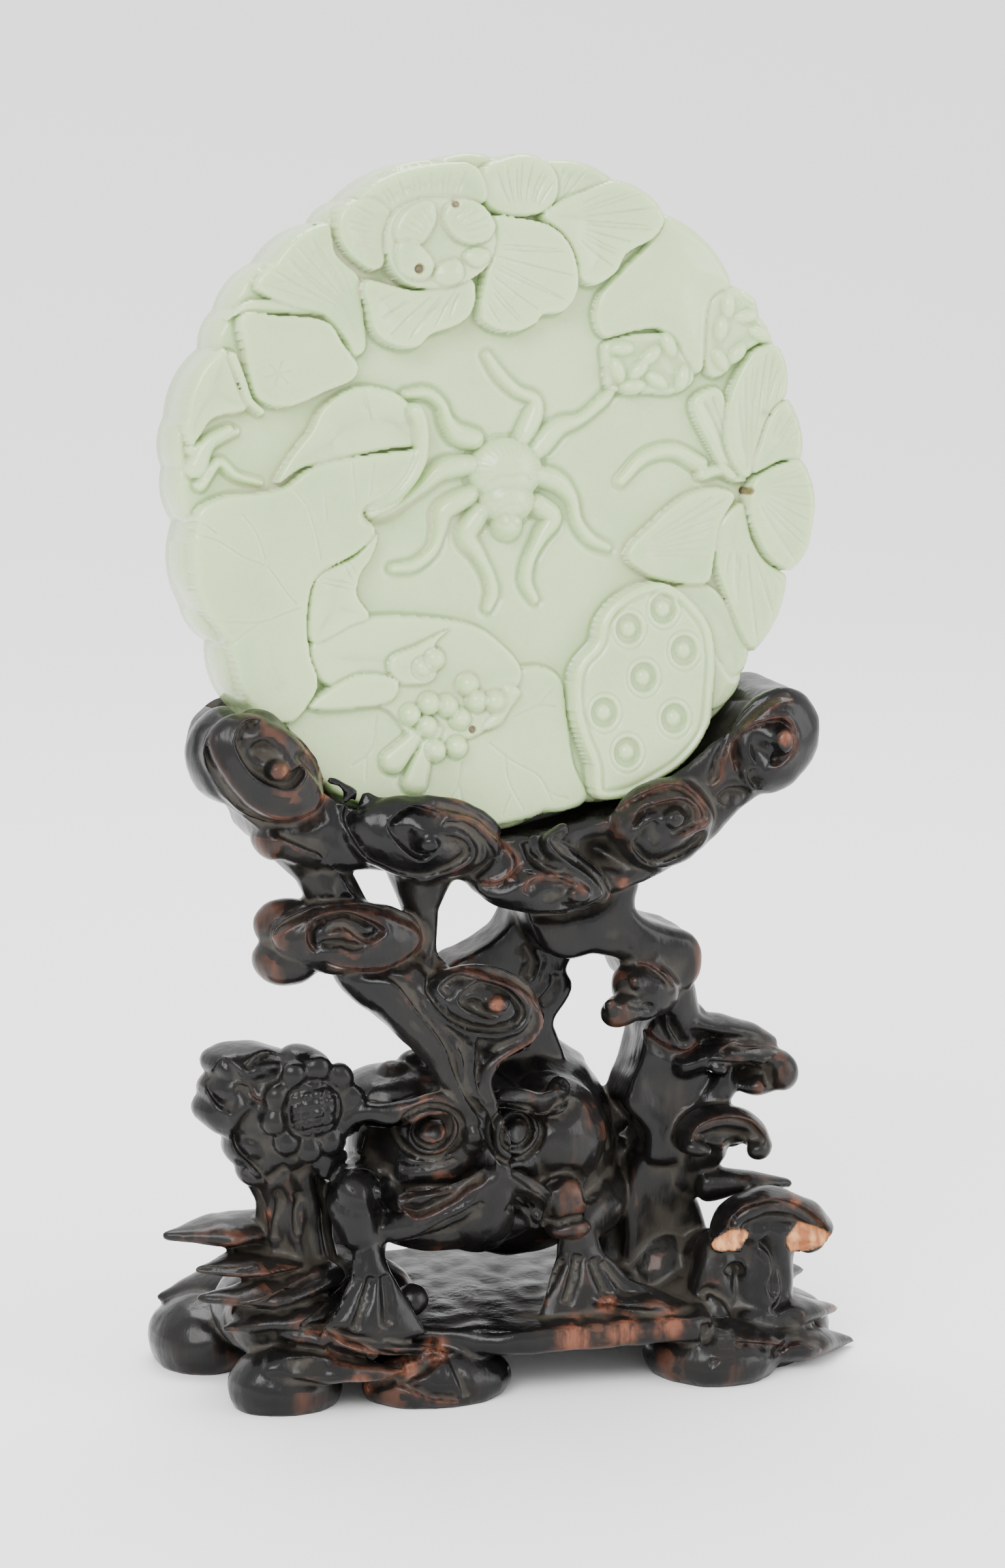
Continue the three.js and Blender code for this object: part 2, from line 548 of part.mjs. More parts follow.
// A pointed leaf from root to tip, flat and slightly ridged.
function blade([root, middle, tip], width, thickness) {
  return limb([
    [...root, width * 0.8, thickness],
    [...middle, width, thickness],
    [...tip, 0.5, 0.4],
  ], { sides: 6, steps: 4, ref: [0, 0, 1] });
}

const deckOutline = [
  [-26, -10], [-14, -15], [-8, -19], [4, -21], [12, -21.5], [18.5, -22], [24, -16], [28, -4], [26, 10],
  [16, 18], [0, 20], [-16, 18], [-28, 12], [-32, 2],
];

// Rock, leaves and feet at the bottom of the stand, cut off flat underneath.
function buildBase() {
  const feet = [
    [[-37, 8, 3], [6.5, 8, 5.5]], [[-31.5, -12, 2.5], [7.2, 5.5, 5]], [[-13, -13, 2], [9.5, 6.5, 4.5]],
    [[23, -14, 2.5], [9, 9.5, 5.5]], [[35, -6, 2], [6, 8, 4.5]], [[-22, 15, 2.5], [9, 6.5, 5]],
    [[19, 14, 2.5], [9, 6.5, 5]],
  ];
  const blades = [
    [[[-26, 0, 18], [-36, 0, 19.5], [-44, -1, 18]], 4.5, 1.6],
    [[[-24, -4, 14.5], [-33, -6, 15], [-41, -6, 12]], 6, 2.2],
    [[[-22, -8, 11], [-31, -9, 10.5], [-39, -7, 7]], 7, 2.4],
    [[[-30, -9, 8], [-22, -15, 8.5], [-13, -17, 6]], 5, 1.6],
    [[[-34, -12, 5], [-27, -16, 5.5], [-19, -19, 4]], 5, 1.6],
    [[[26, -10, 11], [32, -9, 10], [38, -9, 8.5]], 5, 1.8],
    [[[24, -12, 5], [33, -12, 5], [41.5, -10, 2]], 6.5, 2.4],
    [[[26, -4, 10], [32, -2, 9], [36, 2, 7]], 5, 1.8],
    [[[24, -14, 3.5], [33, -16, 3.5], [39.5, -18, 1.6]], 6, 2.6],
    [[[20, 10, 7], [29, 11, 7], [37, 10, 5]], 6, 2],
    [[[-22, 10, 9], [-32, 12, 9], [-41, 13, 7]], 6, 2],
  ];
  return fuse([
    levelPlate(deckOutline, deckBottom, deckTop, 1.2),
    lump([-25, -2, 9], [13, 11.5, 7], 0, 8, 6),
    lump([26, -5, 6], [10, 11, 6]),
    ...feet.map(([place, size]) => lump(place, size)),
    ...blades.map(([line, width, thickness]) => blade(line, width, thickness)),
  ]);
}

function buildStand() {
  const floorCut = new THREE.BoxGeometry(floorSize, floorSize, floorSize);
  floorCut.translate(0, 0, -floorSize / 2);
  return fuse([buildCrown(), buildClouds(), buildToad(), buildLotus(), buildPillar(), buildBase()])
    .subtract(solid(placePlaque(grooveCutter())))
    .subtract(solid(floorCut));
}

// ---------------------------------------------------------------- assembly

const jade = new THREE.MeshStandardMaterial({ color: '#c3d6b8', roughness: 0.28, metalness: 0 });
const lacqueredWood = new THREE.MeshStandardMaterial({ color: '#1b1512', roughness: 0.36, metalness: 0 });

const plaque = asMesh('jade_plaque', buildPlaque(), jade);
plaque.rotation.x = THREE.MathUtils.degToRad(90 - plaqueLean);
plaque.position.set(...plaqueCentre);
const stand = asMesh('carved_stand', buildStand(), lacqueredWood);

// The origin is the middle of the whole object's footprint, at the surface it stands on.
const work = new THREE.Group();
work.add(plaque, stand);
work.updateMatrixWorld(true);
const reach = new THREE.Box3().setFromObject(work, true);
const middle = reach.getCenter(new THREE.Vector3());
work.position.set(-middle.x, -middle.y, -reach.min.z);

const part = new THREE.Group();
part.add(work);
part.updateMatrixWorld(true);

export default part;
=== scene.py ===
import math

import bpy
import numpy as np
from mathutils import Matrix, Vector


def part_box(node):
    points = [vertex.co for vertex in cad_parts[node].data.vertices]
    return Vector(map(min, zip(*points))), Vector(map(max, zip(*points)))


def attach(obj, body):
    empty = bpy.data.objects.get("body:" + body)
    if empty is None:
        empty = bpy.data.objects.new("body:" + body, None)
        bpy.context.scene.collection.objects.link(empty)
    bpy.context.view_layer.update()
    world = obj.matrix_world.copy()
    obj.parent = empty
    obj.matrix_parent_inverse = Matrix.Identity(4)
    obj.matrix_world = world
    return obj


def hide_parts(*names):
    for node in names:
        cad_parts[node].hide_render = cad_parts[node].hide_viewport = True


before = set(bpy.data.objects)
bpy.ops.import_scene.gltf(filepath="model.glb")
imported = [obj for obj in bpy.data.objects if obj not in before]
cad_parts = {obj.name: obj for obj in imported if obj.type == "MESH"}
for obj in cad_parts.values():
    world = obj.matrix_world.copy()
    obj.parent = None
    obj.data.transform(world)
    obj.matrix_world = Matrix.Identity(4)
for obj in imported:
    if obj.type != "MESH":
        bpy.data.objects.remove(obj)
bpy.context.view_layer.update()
milli = 0.001

# Every list below is in millimetres from the drawing's own origin. The frame says where that origin is.
drawnCorner = Vector((-44.09, -23.04, 0))
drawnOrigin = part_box("carved_stand")[0] / milli - drawnCorner
plaqueCentre = Vector((-1, -6, 109)) + drawnOrigin
plaqueLean = math.radians(6)


# ---- small helpers

def deselectAll():
    if bpy.context.object and bpy.context.object.mode != "OBJECT":
        bpy.ops.object.mode_set(mode="OBJECT")
    bpy.ops.object.select_all(action="DESELECT")


def pick(piece):
    deselectAll()
    piece.select_set(True)
    bpy.context.view_layer.objects.active = piece


def readPoints(piece):
    flat = np.empty(len(piece.data.vertices) * 3)
    piece.data.vertices.foreach_get("co", flat)
    return flat.reshape(-1, 3) / milli


def writePoints(piece, points):
    piece.data.vertices.foreach_set("co", (points * milli).ravel())
    piece.data.update()


def readNormals(piece):
    flat = np.empty(len(piece.data.vertices) * 3)
    piece.data.vertex_normals.foreach_get("vector", flat)
    return flat.reshape(-1, 3)


def readEdges(piece):
    flat = np.empty(len(piece.data.edges) * 2, dtype=np.int32)
    piece.data.edges.foreach_get("vertices", flat)
    return flat.reshape(-1, 2)


def writeAttribute(piece, name, values):
    layer = piece.data.attributes.get(name) or piece.data.attributes.new(name, "FLOAT", "POINT")
    layer.data.foreach_set("value", np.asarray(values, dtype=np.float32))


def applyModifier(piece, kind, **settings):
    pick(piece)
    modifier = piece.modifiers.new(kind.title(), kind)
    for key, value in settings.items():
        setattr(modifier, key, value)
    bpy.ops.object.modifier_apply(modifier=modifier.name)


def smoothStep(low, high, value):
    t = np.clip((value - low) / (high - low), 0, 1)
    return t * t * (3 - 2 * t)


def roundedPath(points, closed, parts=6):
    # a smooth curve that passes through every point
    p = np.asarray(points, dtype=float)
    n = len(p)
    out = []
    for i in range(n if closed else n - 1):
        if closed:
            a, b, c, d = p[i - 1], p[i], p[(i + 1) % n], p[(i + 2) % n]
        else:
            b, c = p[i], p[i + 1]
            a = p[i - 1] if i > 0 else 2 * b - c
            d = p[i + 2] if i + 2 < n else 2 * c - b
        for k in range(parts):
            t = k / parts
            out.append(0.5 * (2 * b + (c - a) * t + (2 * a - 5 * b + 4 * c - d) * t ** 2
                              + (3 * b - a - 3 * c + d) * t ** 3))
    if not closed:
        out.append(p[-1])
    return np.array(out)


def segmentDistance(spots, path):
    # distance from each spot to an open path, and how far along the path the nearest place is, 0 to 1
    best = np.full(len(spots), 1e9)
    along = np.zeros(len(spots))
    count = len(path) - 1
    for i in range(count):
        a, b = path[i], path[i + 1]
        ab = b - a
        t = np.clip(((spots - a) @ ab) / max(ab @ ab, 1e-9), 0, 1)
        gap = np.linalg.norm(spots - a - t[:, None] * ab, axis=1)
        near = gap < best
        best[near] = gap[near]
        along[near] = (i + t[near]) / count
    return best, along


def insideDistance(spots, loop):
    # distance to a closed outline, positive inside it
    gap, _ = segmentDistance(spots, np.vstack([loop, loop[:1]]))
    inside = np.zeros(len(spots), dtype=bool)
    x, y = spots[:, 0], spots[:, 1]
    for i in range(len(loop)):
        x1, y1 = loop[i - 1]
        x2, y2 = loop[i]
        crosses = (y1 > y) != (y2 > y)
        if crosses.any():
            xCross = x1 + (y[crosses] - y1) * (x2 - x1) / (y2 - y1)
            flips = np.zeros(len(spots), dtype=bool)
            flips[crosses] = x[crosses] < xCross
            inside ^= flips
    return np.where(inside, gap, -gap)


# ---- jade plaque: outlines are [across, up] in the plane of its face

plaqueSettings = dict(thickness=10.0, ground=-2.6, gridStep=0.2, edgeRound=1.3, lobeBulge=0.11,
                      veinDepth=0.16, veinWidth=0.17, mostTriangles=190000)

rimNotches = [
    [6.5, 39.5], [15, 37], [21, 33], [30, 24], [34, 19.5], [36.5, 10], [38, 2.5], [39, -6.5], [36, -11],
    [31, -21], [24.5, -30], [17.5, -36], [9, -38], [3.5, -39], [-4.5, -40.5], [-11.5, -40], [-18, -37.5],
    [-24, -34], [-29.5, -29.5], [-33, -24.5], [-35.5, -16.5], [-38.5, -12], [-39, -2], [-40, 4.5],
    [-39.5, 10.5], [-35, 18.5], [-33, 23], [-28, 28.5], [-21, 33], [-18, 35.5], [-6, 40], [0.5, 40],
]

# Leaves, buds and petals from the lowest to the highest. top is the height of the surface, dish how far its
# middle sinks (or swells, if negative), fan the veins: root, first and last angle, count, where they start.
reliefForms = [
    dict(name="bud petal", top=-0.8, dish=0.5, outline=[
        [-34.5, 18.2], [-37.2, 16], [-39, 12.2], [-39.5, 9], [-38.5, 7.2], [-36, 10.2], [-31.8, 11.2], [-32.8, 14],
        [-33.5, 17]]),
    dict(name="bud fold", top=-1.0, dish=-0.1, outline=[
        [-34.5, 20.5], [-32.5, 22.2], [-26, 22.2], [-22, 22], [-23.8, 23.2], [-28.5, 23.9], [-32, 23.4]]),
    dict(name="bud", top=-0.2, dish=-0.5, outline=[
        [-32.2, 22.2], [-27.8, 22], [-22, 21.2], [-20, 18.5], [-18.2, 15.8], [-19.2, 14], [-22.5, 12.8],
        [-24.8, 11.8], [-27.8, 11.2], [-30.5, 12.2], [-31.5, 14.8], [-32, 18.2]]),
    dict(name="upper leaf", top=-0.7, dish=0.9, outline=[
        [-18.8, 13.2], [-15.2, 13], [-12.5, 11.8], [-10.8, 9.5], [-11, 6.2], [-14.5, 5.8], [-19, 5], [-21.2, 4],
        [-25.2, 4], [-28.5, 2.2], [-26.8, 5.2], [-24.2, 8.2], [-22.5, 11]]),
    dict(name="lower leaf ground", top=-1.1, dish=0.3, outline=[
        [-28.8, -26.2], [-26.2, -23.2], [-15.8, -24.2], [-7.8, -28.2], [-2.8, -27.8], [0.8, -21.5], [5.8, -22.2],
        [6.8, -27.5], [7.5, -33], [9, -38], [3.5, -39.2], [-4.5, -40.2], [-11.2, -39.8], [-17.8, -37.2],
        [-24.2, -33.8]]),
    dict(name="low leaf", top=-0.5, dish=0.7, outline=[
        [-25, -16.8], [-19.8, -14.5], [-13.8, -14.2], [-5.5, -15.5], [-1.5, -18], [1, -21.2], [0.2, -24],
        [-1, -25.8], [-4.5, -28.8], [-11.8, -30.2], [-15.8, -25.5], [-23.8, -21.5]]),
    dict(name="big leaf", top=0.1, dish=0.35, outline=[
        [-39, -1.8], [-35.8, 0.8], [-28.5, 1.5], [-24.2, 4], [-19, 5], [-13, 5.5], [-10.8, 5.5], [-12.2, 2.5],
        [-14.8, -0.2], [-18, -1.5], [-16.8, -4], [-19.5, -6.5], [-24, -8.8], [-25.5, -12.5], [-25.5, -18],
        [-24.6, -21.5], [-26.2, -24.5], [-28.8, -26.2], [-33, -24.5], [-35.5, -16.2], [-38.2, -12.2],
        [-39.2, -8]]),
    dict(name="leaf fold", top=-0.4, dish=0.4, outline=[
        [-24, -8.8], [-19.5, -6.8], [-16.5, -4.2], [-17.2, -6.8], [-18.8, -9], [-19.2, -11.5], [-17.8, -14],
        [-20.2, -15], [-25, -16.8], [-25.2, -12.5]]),
    dict(name="low leaf fold", top=0.0, dish=0.2, outline=[
        [-15.5, -19.2], [-12.2, -17.8], [-8, -16], [-9.8, -17.5], [-9.5, -20.2], [-10.8, -22.2], [-14.8, -22]]),
    dict(name="crescent petal", top=0.3, dish=-0.2, outline=[
        [-25.8, -24.5], [-22.5, -22], [-18.8, -20.8], [-14.8, -21.8], [-15.8, -24.2], [-20.2, -24.8]]),
    dict(name="small sepal", top=-0.3, dish=-0.2, outline=[
        [-4.2, -28.2], [-2.8, -26.2], [-1, -23], [0.8, -24], [-0.5, -25.8], [-2, -27.8]]),
    dict(name="closed petal", top=-0.9, dish=-0.8, outline=[
        [21, 32.8], [24.5, 32], [28, 28.8], [29.8, 24.2], [27.2, 22.5], [26.2, 18.8], [25.5, 14], [23.5, 14],
        [22.5, 16.8], [20, 19], [16.8, 18.8], [13.2, 18.2], [12, 20.2], [12.5, 23], [15.2, 25.8], [19, 29.2]]),
    dict(name="left wrinkled fold", top=-1.3, dish=-0.2, outline=[
        [13.2, 17.5], [17.5, 18.5], [21.2, 18.2], [23.2, 15.8], [24.5, 12.8], [21.8, 11.2], [17.2, 11.5],
        [13.5, 12], [13, 14.8]]),
    dict(name="right wrinkled fold", top=-1.1, dish=-0.2, outline=[
        [30, 24], [32.2, 24], [33.8, 22.5], [33.2, 20.2], [34.5, 18.8], [33.5, 17.2], [30.5, 15.5],
        [28.2, 13.2], [26.2, 13.5], [26, 17.5], [26.8, 22.2]]),
    dict(name="pod sepal", top=-1.3, dish=-0.2, outline=[
        [26, -17.8], [28, -19.5], [29.5, -21.5], [29.2, -24.8], [27.2, -27], [25.2, -27.2], [25.5, -23]]),
    dict(name="pod leaf", top=-1.5, dish=0.2, outline=[
        [25, -12], [21, -12.8], [25.2, -17.2], [26, -20.5], [28.5, -23.8], [31, -21.2], [30.2, -17.5],
        [27.8, -14.2]]),
    dict(name="right flower, tall left petal", top=-1.0, dish=0.4, fan=([30.5, 0], 97, 119, 6, 2.6), outline=[
        [24.2, 10.2], [26, 11.5], [28, 11.2], [29, 7.2], [30, 3.2], [30.8, 0.2], [28.2, 0.8], [26, 5], [24.5, 8]]),
    dict(name="right flower, tall petal", top=-0.5, dish=0.4, fan=([30.8, -0.5], 68, 95, 8, 3), outline=[
        [30, 0.8], [28.2, 4.8], [28.5, 9.5], [30.2, 13.5], [32.5, 16.2], [35.2, 16.5], [36.8, 14], [36.5, 10.8],
        [34, 8.2], [32.5, 4.8], [31.8, 1.5]]),
    dict(name="right flower, short petal", top=-0.2, dish=0.3, fan=([31.5, 0.5], 40, 68, 4, 5), outline=[
        [31.5, 1.2], [32.5, 4.8], [34.2, 8.5], [36.5, 10], [38.8, 9.2], [39.3, 6.5], [38.3, 2.5], [35.2, 2.5]]),
    dict(name="right flower, low petal", top=-0.8, dish=0.3, fan=([30, -2], -108, -62, 7, 6), outline=[
        [27, -4.8], [26.5, -9.5], [28.2, -15], [31, -20.6], [35, -19], [36.4, -15], [36, -11.8], [33, -9.8],
        [31.2, -6.8], [30.2, -2.5]]),
    dict(name="right flower, side petal", top=-0.7, dish=0.6, fan=([15, -8], -6, 32, 10, 2.5), outline=[
        [15, -8], [18.8, -4.2], [22.5, -1.5], [26.2, -0.5], [29.2, -1.5], [27.2, -4.8], [26.2, -9.2],
        [25.2, -12], [21.2, -11.8], [17.8, -10.8]]),
    dict(name="right flower, front petal", top=0.2, dish=0.5, fan=([30.6, -0.6], -62, 42, 11, 2.2), outline=[
        [30.8, -1.2], [31, -4.8], [33, -9], [35.8, -11], [38.6, -10], [39, -6.2], [39.8, -2.8], [39.5, 0.8],
        [38.2, 2.5], [35.2, 2.2], [32, 0.8]]),
    dict(name="pod", top=0.5, dish=0.0, outline=[
        [16.5, -11.8], [13, -13.5], [11, -15.8], [10.2, -18.5], [8.2, -20.5], [7.2, -23], [7.2, -26.8],
        [8, -30], [9.2, -33.2], [9.8, -37.2], [13.5, -37.6], [17.5, -36], [21.2, -33.8], [24.3, -30.2],
        [25.2, -25.2], [25.5, -20.5], [24.8, -16.8], [22.2, -13.5], [19.5, -11.8]]),
    dict(name="lotus, fan petal", top=-0.9, dish=0.5, fan=([-17.2, 21], 108, 172, 10, 3), outline=[
        [-21.2, 32.8], [-25.2, 31.2], [-27.5, 28.8], [-30.2, 25.5], [-26, 23], [-22, 21.8], [-19.5, 19],
        [-18.5, 17], [-17, 18], [-17.2, 22.8], [-17.5, 26.2], [-20.2, 29]]),
    dict(name="back flower, far petal", top=-0.9, dish=0.3, fan=([5, 31.5], 44, 72, 5, 3), outline=[
        [7, 38.2], [6.2, 39.6], [9.8, 39.6], [13.2, 38.6], [15.2, 37], [11, 35.5], [7.2, 33.8]]),
    dict(name="back flower, top petal", top=-0.2, dish=0.5, fan=([2.5, 31], 50, 112, 8, 3.2), outline=[
        [-1.8, 34.8], [-2, 38.2], [0.8, 39.9], [3.8, 40.5], [6.2, 39.5], [7.5, 37.2], [7, 34.5], [5, 33.2],
        [1, 33]]),
    dict(name="back flower, wide petal", top=-0.1, dish=0.6, fan=([6.8, 32.4], -42, 38, 11, 3.4), outline=[
        [14.8, 37], [18, 37], [20.2, 35.3], [21, 32.5], [19.5, 30], [16, 28.2], [14.5, 26], [11.8, 24.5],
        [9.8, 25.5], [9.5, 27.8], [8, 30.5], [5.5, 32.8], [7.5, 34.5], [11, 35.8]]),
    dict(name="lotus, top petal", top=0.1, dish=0.5, fan=([-8.5, 28.5], 62, 150, 11, 7.2), outline=[
        [-17.8, 35.6], [-13.5, 38.2], [-8.5, 39.3], [-3.8, 39.4], [-2, 37.8], [-1.8, 34.8], [-5.5, 34],
        [-10.2, 34.8], [-13.8, 33]]),
    dict(name="lotus, left petal", top=0.0, dish=0.4, fan=([-8.5, 30], 150, 200, 6, 7), outline=[
        [-13.5, 33.8], [-16.8, 35.8], [-19.5, 34.5], [-20.2, 32], [-19, 29.2], [-16.2, 27], [-14.5, 28],
        [-14.5, 31]]),
    dict(name="lotus, low petal", top=0.4, dish=0.5, fan=([-3.5, 28.5], 200, 246, 8, 4.2), outline=[
        [-17, 25.8], [-16.8, 22.2], [-16, 19.5], [-13.8, 18], [-11, 17.8], [-9.2, 19.2], [-6, 20.2],
        [-4.2, 21.5], [-3.5, 23.8], [-4.5, 25.8], [-10.8, 24.5]]),
    dict(name="lotus, right petal", top=0.4, dish=0.5, fan=([-6.5, 29.8], -62, 3, 9, 5), outline=[
        [-2.2, 25.8], [-3, 21.5], [-1.5, 19.8], [1.2, 19.2], [3.8, 20], [5, 21.2], [7.5, 21.5], [9.2, 23.5],
        [9.5, 26.2], [8.5, 29.5], [6, 31.8], [1.8, 32.8], [-1, 32.8], [-1.5, 28.8]]),
    dict(name="lotus heart", top=0.7, dish=0.5, outline=[
        [-14.2, 28], [-14.5, 31], [-13.2, 33.8], [-10.2, 35.2], [-6.2, 35.2], [-2.8, 34.5], [-1, 32],
        [-1.2, 28.5], [-3, 26.2], [-6.8, 24.8], [-10.8, 24.8], [-13, 26]]),
    dict(name="heart, left cup", top=1.2, dish=-0.4, fan=([-7.5, 29], 112, 160, 6, 2), outline=[
        [-13.5, 31.8], [-12, 34], [-9, 35], [-8.2, 33.2], [-9.2, 31], [-11, 29.5], [-13, 30]]),
    dict(name="heart, right cup", top=1.3, dish=-0.4, fan=([-8.5, 30.5], -5, 50, 5, 2.6), outline=[
        [-7.5, 33.2], [-6, 35], [-2.8, 34.5], [-1, 32], [-2, 30.2], [-4.5, 29.8], [-6.5, 31]]),
    dict(name="heart, low cup", top=1.3, dish=-0.3, outline=[
        [-13.2, 30], [-11, 30.2], [-8.8, 27.8], [-9.5, 26], [-11.5, 25.8], [-13.2, 27]]),
    dict(name="heart, bottom cup", top=1.1, dish=-0.3, outline=[
        [-8.8, 26], [-8, 27.5], [-5.8, 28], [-5, 26.5], [-5.8, 25.2], [-7.8, 25]]),
    dict(name="heart, side cup", top=1.1, dish=-0.2, outline=[
        [-5, 28.2], [-4, 29.2], [-2, 29], [-1.8, 27.8], [-3.5, 27]]),
]

# Raised rolls: path, half width at the start and the end, height above what is under them.
reliefRolls = [
    dict(path=[[-11.2, 10.2], [-10.6, 8.2], [-10.8, 4.8], [-12.2, 2], [-14.8, -0.5], [-17.2, -1.6]],
         wide=[0.9, 0.7], high=0.9, base=-0.6),
    dict(path=[[14.8, 0.8], [18, 3.6], [21.8, 4.2], [25.2, 2.4]], wide=[0.7, 1.1], high=1.3, base=-2.6),
    dict(path=[[25.4, 1.2], [27.5, 1.6], [29, 1]], wide=[0.8, 0.5], high=0.9, base=-2.2),
    dict(path=[[-33.4, 17.4], [-32.4, 14.6], [-31.6, 12.2], [-30.2, 10.8]], wide=[0.5, 0.4], high=0.5, base=-0.9),
    dict(path=[[-38.3, 6.6], [-35.5, 7.6], [-33, 8.6]], wide=[0.8, 0.4], high=0.9, base=-2.2),
    dict(path=[[-37.6, 2.4], [-35.4, 5], [-33.4, 3.4], [-30.4, 2.4]], wide=[0.7, 0.4], high=1.1, base=-2.2),
    dict(path=[[-38, 4.5], [-36.6, 7.2], [-34, 8.8]], wide=[1.3, 0.6], high=1.2, base=-2.2),
    dict(path=[[-15.4, -31.5], [-13.2, -29.4], [-11, -27]], wide=[1.5, 0.7], high=0.9, base=-1.0),
    dict(path=[[-12.8, -34.2], [-11.6, -31], [-10, -28]], wide=[1.5, 0.7], high=0.9, base=-1.0),
]
spiderLegs = [
    [[-3.5, 6.5], [-5.5, 7.2], [-6.8, 8.8], [-7.5, 10.8], [-9.2, 12.2], [-11.8, 12.2]],
    [[-4.2, 3.5], [-7.8, 3], [-10.5, 1], [-13.2, -0.8], [-15.5, -1.8], [-17.5, -2]],
    [[-4.2, -0.2], [-7.5, -1.8], [-8.2, -4], [-9.2, -6.5], [-11.5, -8.2], [-14.2, -8.5]],
    [[-3, -2.2], [-4.8, -4.8], [-3.5, -7.2], [-2.2, -9.8], [-1.8, -12], [-2.5, -13.8]],
    [[2.8, 6.5], [4, 8.8], [4.2, 11], [2, 12.2], [0, 14.2], [-1.5, 16.5]],
    [[4.4, 5], [7, 7.5], [10, 8.5], [12.8, 10.5], [14.2, 11.8]],
    [[4.2, 2], [6.8, 1], [8.5, -1], [9.2, -3.8], [10.8, -6], [13, -7.2]],
    [[4.2, -1.5], [6, -3.2], [4.5, -5.5], [3, -8.2], [2.5, -10.8], [3.5, -13]],
]
seedPlaces = [[19, -14.8], [14.5, -17], [21.5, -20], [16.2, -23], [11, -27], [20, -28.2], [13.8, -32]]
berryPlaces = [[-13.2, -26], [-11.2, -27.5], [-5.8, -22.8], [-7, -26.8], [-10.2, -30.5], [-7.5, -30.2],
               [-8.5, -25.2], [-10.8, -24.8], [-4.8, -24.8], [-11.5, -20.5], [-10, -19.5], [-2.5, -25]]
wrinklePlaces = [[15.2, 16.8], [14.5, 14.2], [18.8, 15.8], [19.5, 12.8], [22.8, 13], [16.5, 12.2], [21.2, 17],
                 [17.2, 14.2], [32.2, 22.5], [28, 18.8], [31.2, 20.2], [27.8, 15], [30, 15.8], [33, 18],
                 [29, 21.5]]
cutVeins = [
    [[-39, -3.2], [-36.2, -4.2], [-33.5, -6], [-30.8, -7.2]], [[-38, -2], [-36.5, -3.2]],
    [[-33.2, -1.2], [-31.5, -3.5], [-30.5, -6.5]], [[-26.8, 1.5], [-25.2, -0.5]],
    [[-25, -1], [-24.2, -4], [-23.8, -6.8]], [[-30.2, -7.5], [-28, -10.8], [-27, -12]],
    [[-37.5, -13.5], [-31.8, -14], [-28.2, -13], [-26.5, -12.5]], [[-31.8, -14.2], [-34.8, -16.2]],
    [[-0.2, -27], [3.2, -25.8], [5.2, -26]], [[3.2, -25.8], [5, -24]],
    [[-3.2, -30], [-0.5, -32.2], [2.8, -34.2], [4.5, -36.5], [6.5, -37.2]], [[3.2, -34.5], [4.5, -37.5]],
    [[-1.2, -31.5], [-0.8, -34.8], [0.8, -38.2]], [[-0.8, -36.5], [-1.8, -38.8]],
    [[-6.8, -32.2], [-7.2, -34.5], [-8.8, -37.5]], [[-7.2, -34.5], [-6.8, -37.2]],
    [[-17.2, -26], [-18, -30], [-20.5, -31.8]], [[-18.5, -30.5], [-18.8, -33.5]],
    [[-23.2, -9.2], [-19.8, -10]], [[-23.2, -9.8], [-19.2, -10.8]], [[-20.2, -7.2], [-19.2, -9.2]],
    [[-21, -7.5], [-19.8, -9.5]], [[-18, 13.2], [-17.2, 10.8]], [[-17.5, 13.2], [-16.5, 9.5]],
    [[-23, 1.2], [-22.8, -2.2]], [[-19.5, 4.5], [-19.2, 0]], [[-16.8, 4.2], [-17.4, 0.4]],
]
pits = [([-10.8, 27], 0.75, 0.7), ([-6, 34.5], 0.6, 0.5), ([30.8, -1], 0.6, 0.5), ([-5.5, -28.2], 0.6, 0.5)]


def rimOutline():
    points = []
    for i, start in enumerate(rimNotches):
        end = rimNotches[(i + 1) % len(rimNotches)]
        chord = (end[0] - start[0], end[1] - start[1])
        for t in np.linspace(0, 1, 9)[:-1]:
            rise = 4 * t * (1 - t) * plaqueSettings["lobeBulge"]
            points.append([start[0] + chord[0] * t - chord[1] * rise, start[1] + chord[1] * t + chord[0] * rise])
    return np.array(points)


def near(spots, places, margin):
    # the spots within a margin of a set of places, so each cut looks only where it matters
    places = np.asarray(places)
    low, high = places.min(0) - margin, places.max(0) + margin
    return np.flatnonzero(((spots >= low) & (spots <= high)).all(1))


